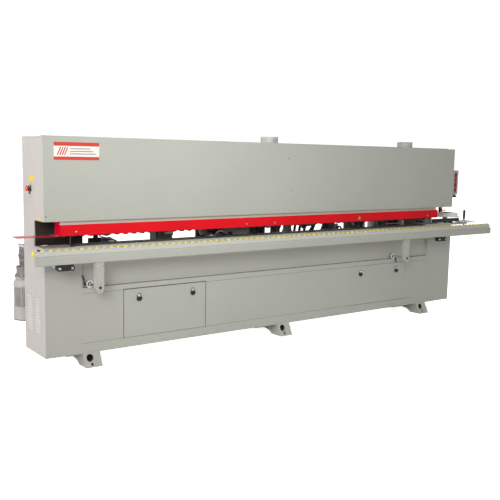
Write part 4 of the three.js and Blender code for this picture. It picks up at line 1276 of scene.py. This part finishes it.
def trim_unit():
    """The trimming column with its two motors, cutters, chrome guard and hoses."""
    build = Build()
    build.box((1640, 1910), (200, 330), (BED, 1180), ENAMEL)
    build.box((1450, 2180), (330, 350), (BED, 1120), DARK_ENAMEL)
    for (x, z), radius in ((TRIM_CENTRES["upper"], 59), (TRIM_CENTRES["lower"], 55)):
        finned_motor(build, "Y", x, z, 176, 329, radius, ALUMINIUM, BLACK, 26)
        build.rod("Y", x, z, 16, 175.8, 178, BLACK_OXIDE, 24)
        top = z + radius
        build.box((x - 26, x + 26), (232, 290), (top - 8, top + 18), DARK_ENAMEL)
        build.tube([(x, 262, top + 16), (x + 20, 280, top + 44), (x + 34, 312, top + 30),
                    (x + 36, 326, top - 10)], 5, CABLE)
    x, z = TRIM_CENTRES["lower"]
    hood = arc(x, z, 72, 20, 168, 18) + arc(x, z, 66, 168, 20, 18)
    build.prism("Y", hood, 118, 176, CHROME)
    build.box((1470, 1530), (300, 329), (905, 975), BLACK)
    build.box((2030, 2130), (300, 329), (860, 960), BLACK)
    grid(build.cap_screw, "Y", (1656, 1894), range(830, 1170, 56), 5, 200, -4, BLACK_OXIDE)
    for i in range(5):
        x = 1925 + i * 26
        build.box((x, x + 12), (250, 329), (870, 960), CAST_GREY if i % 2 else DARK_ENAMEL)
    build.rod("Z", 1740, 250, 26, 1180, 1290, ALUMINIUM, 36, 2.0)
    build.rod("Z", 1850, 250, 15, 1180, 1330, CHROME, 32, 1.5)
    build.lathe("Y", 1705, 890, [(22, 200), (22, 190), (18, 186), (8, 186)], BLACK, 36)
    build.lathe("Y", 1846, 1000, [(24, 200), (24, 186), (20, 183), (8, 183)], BLACK, 36)
    build.ring("Y", 1846, 1000, 15, 21, 183, 181.6, PRINT_WHITE, 36)
    dust_hose(build, [(2100, 300, 1060), (2110, 300, 1180), (2090, 320, 1380), (2080, 260, 1520),
                      (2106, 190, 1650)], 42)
    dust_hose(build, [(1500, 290, 900), (1440, 270, 1080), (1480, 300, 1300), (1780, 300, 1460),
                      (2106, 230, 1650)], 38)
    finish_piece("trim_unit_detail", build, "root", ["trim_unit"], 0.8)
    for name, radius in (("upper", 40), ("lower", 37)):
        x, z = TRIM_CENTRES[name]
        cutter = Build()
        cutter.prism("Y", gullets(x, z, radius, radius * 0.72, 4), 129, 157, STEEL_Y)
        cutter.prism("Y", gullets(x, z, radius - 0.6, radius * 0.9, 4), 128, 158, BLACK_OXIDE)
        inner, outer = radius * 0.7, radius * 0.99
        for i in range(4):
            knife = spun(x, z, 2 * math.pi * i / 4, ((inner, -2), (outer, -2), (outer, 2), (inner, 2)))
            cutter.prism("Y", knife, 130, 156, CHROME)
        cutter.rod("Y", x, z, 11, 120, 175.4, STEEL_Y, 28, 1.0)
        cutter.hex_bolt("Y", x, z, 12, 128, -6, ZINC)
        finish_piece("trim_" + name + "_detail", cutter, "trim_" + name,
                     ["cutter_" + name], 0.3)


SAW_SHAFT = (182.0, 965.0)  # y and z of the saw blade's shaft
SAW_RAIL_ZS = (1090, 1160)


def saw_unit():
    """The end-cut saw: its carriage and motor, the blade, and the rails between two plates."""
    x = span("saw_carriage")[0].x
    build = Build()
    build.box((x, x + 130), (240, 300), (1060, 1190), ALUMINIUM)
    build.box((x + 20, x + 110), (180, 241), (990, 1120), ALUMINIUM)
    for z in SAW_RAIL_ZS:
        for face, out in ((x, -1), (x + 130, 1)):
            build.ring("X", 270, z, 11.6, 19, face, face + out * 0.9, BLACK_OXIDE, 32)
    finned_motor(build, "X", *SAW_SHAFT, x + 20, x + 125, 41.5, ENAMEL, BLACK, 22)
    for dx in (32, 98):
        for z in (1004, 1106):
            build.cap_screw("Y", x + dx, z, 5, 180, -4, BLACK_OXIDE)
    for dx in (14, 116):
        for z in (1072, 1178):
            build.hex_bolt("Y", x + dx, z, 6, 240, -4, ZINC)
    build.tube([(x + 90, 188, 1006), (x + 96, 175, 1024), (x + 88, 186, 1046)], 4.5, CABLE)
    finish_piece("saw_carriage_detail", build, "end_saw", ["saw_carriage"], 0.8)
    blade = Build()
    blade.prism("X", gullets(*SAW_SHAFT, 62, 56, 36), x + 6.4, x + 8.6, STEEL_X)
    blade.rod("X", *SAW_SHAFT, 24, x + 5.2, x + 9.8, STEEL_X, 36, 0.8)
    blade.rod("X", *SAW_SHAFT, 13.8, x + 2, x + 19.4, STEEL_X, 28, 1.0)
    blade.hex_bolt("X", *SAW_SHAFT, 9, x + 2.4, -2.2, ZINC)
    finish_piece("saw_blade_detail", blade, "blade", ["saw_blade"], 0.0)
    rails = Build()
    for plate_x, lean in ((2380, 1), (2904, -1)):
        rails.box((plate_x, plate_x + 16), (220, 320), (BED, 1190), DARK_ENAMEL)
        root = plate_x + 8
        gusset = [(root, 812), (root + lean * 120, 800.5), (root + lean * 30, 990), (root, 990)]
        rails.prism("Y", gusset, 300, 308, DARK_ENAMEL)
    for z in SAW_RAIL_ZS:
        rails.rod("X", 270, z, 11, 2395, 2905, CHROME, 32)
    rails.tube([(2240, 250, 801), (2250, 230, 880), (2300, 240, 960), (2376, 260, 1010)], 9, CABLE)
    rails.tube([(2290, 300, 801), (2330, 280, 860), (2345, 250, 930), (2376, 230, 980)], 6, HOSE)
    rails.box((2216, 2256), (210, 300), (800.5, 952), DARK_ENAMEL)
    for foot_x in (2440, 2500, 2560):
        strut = [(foot_x, 800.5), (foot_x + 26, 800.5), (foot_x + 58, 950), (foot_x + 30, 950)]
        rails.prism("Y", strut, 262, 268, BLACK)
    rails.prism("Y", [(2650, 812), (2730, 812), (2800, 960), (2776, 960)], 322, 328, BLACK)
    rails.box((2640, 2740), (240, 330), (800.5, 813), DARK_ENAMEL)
    for z in (870, 960, 1140):
        for rail_x, out in ((2380, -1), (2920, 1)):
            for y in (240, 300):
                rails.hex_bolt("X", y, z, 6, rail_x, out * 4, ZINC)
    rails.rod("X", 306, 1125, 14, 2396, 2480, ALUMINIUM, 28, 1.5)
    rails.rod("X", 306, 1125, 5, 2400, 2490, CHROME, 20)
    finish_piece("saw_rail_detail", rails, "root", ["saw_rails"], 0.3)


def glue_unit():
    """The glue pot, the tape feed and the blocks along its base, and the tape pressure roller."""
    build = Build()
    build.prism("Z", rounded((3850, 4050), (190, 370), 16), BED, 1020, DARK_ENAMEL)
    build.prism("Z", rounded((3846, 4054), (186, 374), 18), 1018, 1030, ALUMINIUM)
    build.prism("Z", rounded((3870, 4030), (206, 354), 12), 1030, 1040, ALUMINIUM)
    build.rod("X", 280, 1040, 8, 3900, 4000, BLACK, 24, 2.0)
    build.box((3060, 3860), (230, 260), (BED, 860), DARK_ENAMEL)
    build.box((3080, 3240), (190, 260), (859, 1000), DARK_ENAMEL)
    build.box((2940, 3012), (262, 300), (BED, 925), ENAMEL)
    grid(build.cap_screw, "Y", (3098, 3222), (876, 984), 5, 190, -4, BLACK_OXIDE)
    build.lathe("Y", 3128, 930, [(24, 190), (24, 176), (20, 172), (6, 172)], ALUMINIUM, 36)
    build.lathe("Y", 3192, 930, [(17, 190), (17, 170), (14, 167), (5, 167)], BLACK, 32)
    build.box((3146, 3174), (150, 190), (915, 945), BLACK)
    build.tube([(3060, 244, 850), (3020, 250, 900), (2990, 260, 860), (2970, 270, 801)], 8, CABLE)
    build.rod("X", 206, 940, 12, 3240, 3300, BLACK_OXIDE, 24, 1.0)
    build.box((3262, 3276), (190, 250), (859, 965), BLACK)
    build.boxes(ALUMINIUM, ((3440, 3560), (180, 231), (846, 859)),
                ((3440, 3560), (230, 250), (846, 1010)), ((3440, 3560), (180, 231), (997, 1010)),
                ((3800, 3851), (160, 240), (846, 859)), ((3400, 3420), (180, 255), (859, 960)))
    grid(build.hex_bolt, "X", (220, 340), (840, 900, 960), 6, 3850, -4, ZINC)
    for dx in (12, 108):
        for z in (880, 930, 980):
            build.cap_screw("Y", 3440 + dx, z, 5, 230, -4, BLACK_OXIDE)
    build.rod("Y", 3500, 1003, 14, 180, 172, CHROME, 28, 1.5)
    build.tube([(3900, 200, 1000), (3840, 190, 1040), (3760, 230, 1010), (3700, 245, 900),
                (3690, 245, 862)], 6, CABLE)
    build.lathe("Z", 3330, 245, [(20, 860), (20, 940), (15, 948), (15, 1010), (8, 1014)], ALUMINIUM, 32)
    build.rod("Z", 3640, 245, 24, 860, 935, RED_PLASTIC, 32, 2.0)
    build.box((3580, 3610), (200, 250), (859, 990), DARK_ENAMEL)
    build.box((3676, 3712), (190, 258), (859, 975), BLACK)
    build.rod("Z", 3746, 236, 17, 860, 968, DARK_ENAMEL, 28, 1.5)
    build.box((3764, 3790), (210, 258), (859, 950), BLACK)
    build.rod("X", 196, 905, 8, 3562, 3846, CHROME, 24)
    build.box((4062, 4150), (230, 330), (800.5, 980), DARK_ENAMEL)
    build.rod("Z", 4210, 270, 40, 801, 960, BLACK, 36, 2.0)
    build.tube([(4050, 300, 960), (4100, 200, 930), (4180, 190, 900), (4240, 230, 801)], 8, HOSE)
    finish_piece("glue_unit_detail", build, "root", ["glue_unit"], 0.8)
    press = Build()
    x, y = 3500, 160
    press.lathe("Z", x, y, [(32, 869.5), (34, 871), (34, 933), (32, 935)], TYRE, 48)
    press.rod("Z", x, y, 10, 859.5, 945, STEEL_Z, 28, 1.0)
    press.lathe("Z", x, y, [(20, 935), (20, 938), (17, 940)], STEEL_Z, 32)
    finish_piece("press_roller_detail", press, "press_roll", ["pressure_roller"], 0.3)


buffing_unit()
scraper_unit()
trim_unit()
saw_unit()
glue_unit()


# ---------------------------------------------------------------- body details
SMALL_DOOR_X = (610, 1335)
LARGE_DOOR_X = (2950, 3690)
DOOR_TOP = 541.0
SPIGOT_XS = (2106, 3830)
SPIGOT_Y = 200
FRONT_RAIL_Z = 888
OUTFEED_BED_Z = 885


def hood_badge():
    """A plain red, white and red plate, without lettering."""
    build = Build()
    x0, x1, z0, z1 = 78, 415, 1500, 1623
    band = (z1 - z0) * 0.215
    build.prism("Y", rounded((x0, x1), (z0, z1), 2), -0.8, 0.2, PRINT_WHITE)
    build.box((x0, x1), (-1.2, -0.6), (z1 - band, z1), PRINT_RED)
    build.box((x0, x1), (-1.2, -0.6), (z0, z0 + band * 0.86), PRINT_RED)
    bottom, top, slant = z0 + band + 6, z1 - band - 8, 24
    for i in range(4):
        start = x0 + 22 + i * 17
        bar = [(start, bottom), (start + 8, bottom), (start + 8 + slant, top), (start + slant, top)]
        build.prism("Y", bar, -1.1, -0.6, PRINT_RED)
    for i in range(3):
        z = z0 + band + 12 + i * 18
        build.box((x0 + 118, x1 - 26 - 20 * i), (-1.1, -0.6), (z, z + 7), PRINT_GREY)
    finish_piece("badge_plate", build, "hood_lid", (), 0.0)


def stickers():
    """Plain stickers on the left end, without lettering."""
    build = Build()
    x = span("hood_end_left")[0].x
    build.prism("X", rounded((180, 272), (1346, 1385), 4), x - 0.6, x + 0.1, PRINT_YELLOW)
    build.prism("X", rounded((67, 106), (1072, 1103), 3), x - 0.6, x + 0.1, PRINT_YELLOW)
    build.prism("X", rounded((238, 264), (1228, 1236), 2), x - 0.5, x + 0.1, PRINT_GREY)
    finish_piece("end_stickers", build, "root", (), 0.0)


def louvre_lips():
    """Pressed hoods over the ventilation slots of the left end; the lips are paler than the sheet as
    painted highlight.
    """
    build = Build()
    for y0 in (85, 237):
        for row in range(12):
            z = 262 + row * 21.5
            lip = [(0.2, z + 14), (-3.0, z + 10), (-4.4, z + 3), (-3.6, z + 3), (-2.4, z + 9.2),
                   (0.2, z + 12.4)]
            # Paler coat on the lips: painted highlight on their lit faces.
            build.prism("Y", lip, y0 + 3, y0 + 92, PALE_COAT_AND_HIGHLIGHT)
            for end, way in ((y0, 1), (y0 + 95, -1)):
                build.prism("Z", [(0.2, end), (-0.4, end), (-3.6, end + way * 5), (0.2, end + way * 5)],
                            z, z + 9, COAT)
    finish_piece("louvre_lips", build, "root", (), 0.0)


def body_screws():
    """Screws of the hood, the left end and the back, and the rear door's hinge knuckles."""
    hood = Build()
    for x, z in ((16, 1106), (2167, 1537), (2202, 1264), (4217, 1093)):
        hood.lathe("Y", x, z, [(5, 0.1), (4.6, -1.8), (2.5, -2.6)], DARK_ENAMEL, 18)
    finish_piece("hood_door_screws", hood, "hood_lid", (), 0.0)
    build = Build()
    grid(build.lathe, "X", (14, 386), (880, 760, 500, 240), [(6, 0.1), (5.6, -1.8), (3, -2.8)], ZINC, 18)
    for z in (240, 400, 560, 720):
        for x in (60, 1100, 2380, 3300, 4310):
            build.lathe("Y", x, z, [(6, 399.9), (5.6, 401.8), (3, 402.8)], ZINC, 18)
    for x in range(120, 4340, 350):
        build.lathe("Y", x, 1140, [(5, 399.9), (4.6, 401.6), (2.5, 402.4)], ZINC, 18)
        build.lathe("Y", x, 1640, [(5, 399.9), (4.6, 401.6), (2.5, 402.4)], ZINC, 18)
    finish_piece("body_screws", build, "root", (), 0.0)
    hinge = Build()
    for z in (260, 640):
        hinge.rod("Z", 1494, 410, 6, z - 26, z + 26, BLACK_OXIDE, 20, 1.0)
    finish_piece("rear_hinge_knuckles", hinge, "root", (), 0.0)


def dust_spigots():
    """Rolled rims and screwed base flanges of the two extraction spigots, and a dark ring inside each as
    painted shade.
    """
    build = Build()
    for x in SPIGOT_XS:
        build.lathe("Z", x, SPIGOT_Y, [(75.2, 1660), (75.6, 1660), (75.6, 1719), (75.2, 1720)], WHITE, 64)
        build.ring("Z", x, SPIGOT_Y, 71, 75.6, 1660.2, 1720, WHITE, 64)
        build.ring("Z", x, SPIGOT_Y, 75, 92, 1660, 1662.4, PALE_COAT_AND_HIGHLIGHT, 64)
        for spot in circle(x, SPIGOT_Y, 84, 6):
            build.cap_screw("Z", *spot, 3.5, 1662.4, 2, ZINC)
        # Dark ring deep inside the spigot: painted shade.
        build.ring("Z", x, SPIGOT_Y, 40, 71, 1648, 1650, DARK_COAT_AND_SHADE, 48)
    finish_piece("dust_spigot_rims", build, "root", (), 0.0)


def rail_details():
    """Guide strips beside the chain, the tables' screws, and the infeed table's plates."""
    build = Build()
    build.box((242, 3970), (20, 27.6), (FRONT_RAIL_Z, FRONT_RAIL_Z + 1.5), EXTRUDED)
    build.box((300, 3970), (97.5, 106), (878, 884), BLACK_OXIDE)
    for x in range(360, 3960, 180):
        build.cap_screw("Z", x, 10, 4.5, FRONT_RAIL_Z, 1.5, ZINC)
    grid(build.cap_screw, "Z", (30, 110, 190), (20, 160), 4.5, OUTFEED_BED_Z, 1.4, ZINC)
    finish_piece("rail_strips", build, "root", (), 0.3)
    beds = Build()
    for y in ((0.4, 27.6), (100, 187)):
        beds.box((3974, 4368), y, (899, 901.4), EXTRUDED)
    finish_piece("infeed_bed_plates", beds, "root", (), 0.3)


def panel_seams():
    """Painted shadow lines in the joints between the front's sheets, round its doors and along the recess's
    lower edge, and black gap walls round the doors as painted shade.
    """
    build = Build()
    level = (-0.25, 0.2)
    (small0, small1), (large0, large1) = SMALL_DOOR_X, LARGE_DOOR_X
    for x0, x1 in ((282, small0), (small1, large0), (large1, 4010)):
        build.box((x0, x1), level, (DOOR_TOP - 1, DOOR_TOP + 1.2), SEAM_SHADOW)
    gap = 5.2
    build.box((small0 - gap, small1 + gap), level, (DOOR_TOP + 0.3, DOOR_TOP + 8), SEAM_SHADOW)
    build.box(LARGE_DOOR_X, level, (DOOR_TOP + 0.3, DOOR_TOP + 2.8), SEAM_SHADOW)
    build.box((265, 3787), level, (173.5, 175.5), SEAM_SHADOW)
    for x in (small0 - gap, small1):
        build.box((x, x + gap), level, (170, DOOR_TOP), SEAM_SHADOW)
    for x in (281, 4010):
        build.box((x - 0.8, x + 0.8), level, (583, 792), SEAM_SHADOW)
    # Painted shadow along the recess's lower edge.
    build.box((282, 4010), (19.4, 20.2), (583.4, 586.5), SEAM_SHADOW)
    # Black rubber on the small door's gap walls and on both doors' tops: painted shade in the gaps.
    for (x0, x1), sides in ((SMALL_DOOR_X, PAD), (LARGE_DOOR_X, COAT)):
        for x in ((x0 - 2.9, x0 - 0.4), (x1 + 0.4, x1 + 2.9)):
            build.box(x, (0.6, 14), (169, 544), sides)
        build.box((x0 - 2.9, x1 + 2.9), (0.6, 14), (169.2, 171.6), COAT)
        build.box((x0 - 2.9, x1 + 2.9), (3.5, 14), (DOOR_TOP + 0.4, DOOR_TOP + 2.8), PAD)
    finish_piece("panel_seams", build, "root", (), 0.0)


hood_badge()
stickers()
louvre_lips()
body_screws()
dust_spigots()
rail_details()
panel_seams()


# ---------------------------------------------------------------- stage, light and camera
def floor_material():
    """Matt white paper that looks white to the camera out to the horizon."""
    g = Graph("floor_pale", (0.9, 0.9, 0.895), 0.9)
    g.set("Base Color", g.blend(g.noise(0.7, 3.0), g.tint(0.985), g.tint(1.0)))
    g.set("Emission Color", (1.0, 1.0, 1.0, 1.0))
    seen = g.add("ShaderNodeLightPath").outputs["Is Camera Ray"]
    g.set("Emission Strength", g.math("MULTIPLY", seen, 0.9))
    return g.material


def studio():
    """The floor, and a world that lights the machine less than it shows to the camera."""
    mesh = bpy.data.meshes.new("floor")
    half = 60.0
    corners = [(-half, -half, 0), (half, -half, 0), (half, half, 0), (-half, half, 0)]
    mesh.from_pydata(corners, [], [(0, 1, 2, 3)])
    mesh.materials.append(floor_material())
    floor = bpy.data.objects.new("floor", mesh)
    bpy.context.scene.collection.objects.link(floor)

    world = bpy.data.worlds.new("studio")
    world.use_nodes = True
    nodes, links = world.node_tree.nodes, world.node_tree.links
    background = nodes["Background"]
    background.inputs["Color"].default_value = (1.0, 0.995, 0.985, 1.0)
    plain = nodes.new("ShaderNodeBackground")
    plain.inputs["Color"].default_value = (1.0, 1.0, 1.0, 1.0)
    plain.inputs["Strength"].default_value = 1.05
    background.inputs["Strength"].default_value = 0.53
    path = nodes.new("ShaderNodeLightPath")
    mix = nodes.new("ShaderNodeMixShader")
    links.new(path.outputs["Is Camera Ray"], mix.inputs["Fac"])
    links.new(background.outputs[0], mix.inputs[1])
    links.new(plain.outputs[0], mix.inputs[2])
    links.new(mix.outputs[0], nodes["World Output"].inputs["Surface"])
    bpy.context.scene.world = world


def area_light(name, place, target, size, power, colour=(1.0, 1.0, 1.0), spread=180):
    """A rectangular light aimed at a target; power in watts, spread in degrees."""
    light = bpy.data.lights.new(name, "AREA")
    light.shape = "RECTANGLE"
    light.size, light.size_y = size
    light.energy = power
    light.color = colour
    light.spread = math.radians(spread)
    item = bpy.data.objects.new(name, light)
    item.location = place
    item.rotation_mode = "QUATERNION"
    item.rotation_quaternion = (Vector(target) - Vector(place)).to_track_quat("-Z", "Y")
    bpy.context.scene.collection.objects.link(item)


def camera():
    """A plain perspective camera, turned by its yaw, pitch and roll in degrees."""
    data = bpy.data.cameras.new("camera")
    data.lens = 53.24
    data.clip_end = 200
    item = bpy.data.objects.new("camera", data)
    yaw, pitch, roll = (math.radians(angle) for angle in (36.50, 7.27, 1.155))
    ahead = Vector((math.sin(yaw) * math.cos(pitch), math.cos(yaw) * math.cos(pitch), -math.sin(pitch)))
    level = ahead.cross(Vector((0, 0, 1))).normalized()
    over = level.cross(ahead)
    right = level * math.cos(roll) + over * math.sin(roll)
    up = over * math.cos(roll) - level * math.sin(roll)
    turn = Matrix((right, up, -ahead)).transposed().to_4x4()
    item.matrix_world = Matrix.Translation((-4.2376, -5.1414, 1.5546)) @ turn
    bpy.context.scene.collection.objects.link(item)
    bpy.context.scene.camera = item


studio()
area_light("key", (-5.2, -4.8, 3.4), (-1.3, -0.2, 1.9), (2.6, 2.6), 42, (1.0, 1.0, 1.0), 60)
area_light("wash", (-1.9, -2.3, 2.9), (-0.8, -0.2, 1.6), (1.8, 0.8), 4.2, (0.96, 1.0, 0.97), 80)
area_light("side", (-7.4, 0.2, 2.2), (-2.6, 0.1, 1.0), (2.6, 2.6), 165, (1.0, 0.83, 0.97))
area_light("back", (3.5, 5.0, 3.0), (0.5, 0.2, 0.9), (4.0, 3.0), 90)
camera()
bpy.context.scene.view_settings.view_transform = "Standard"
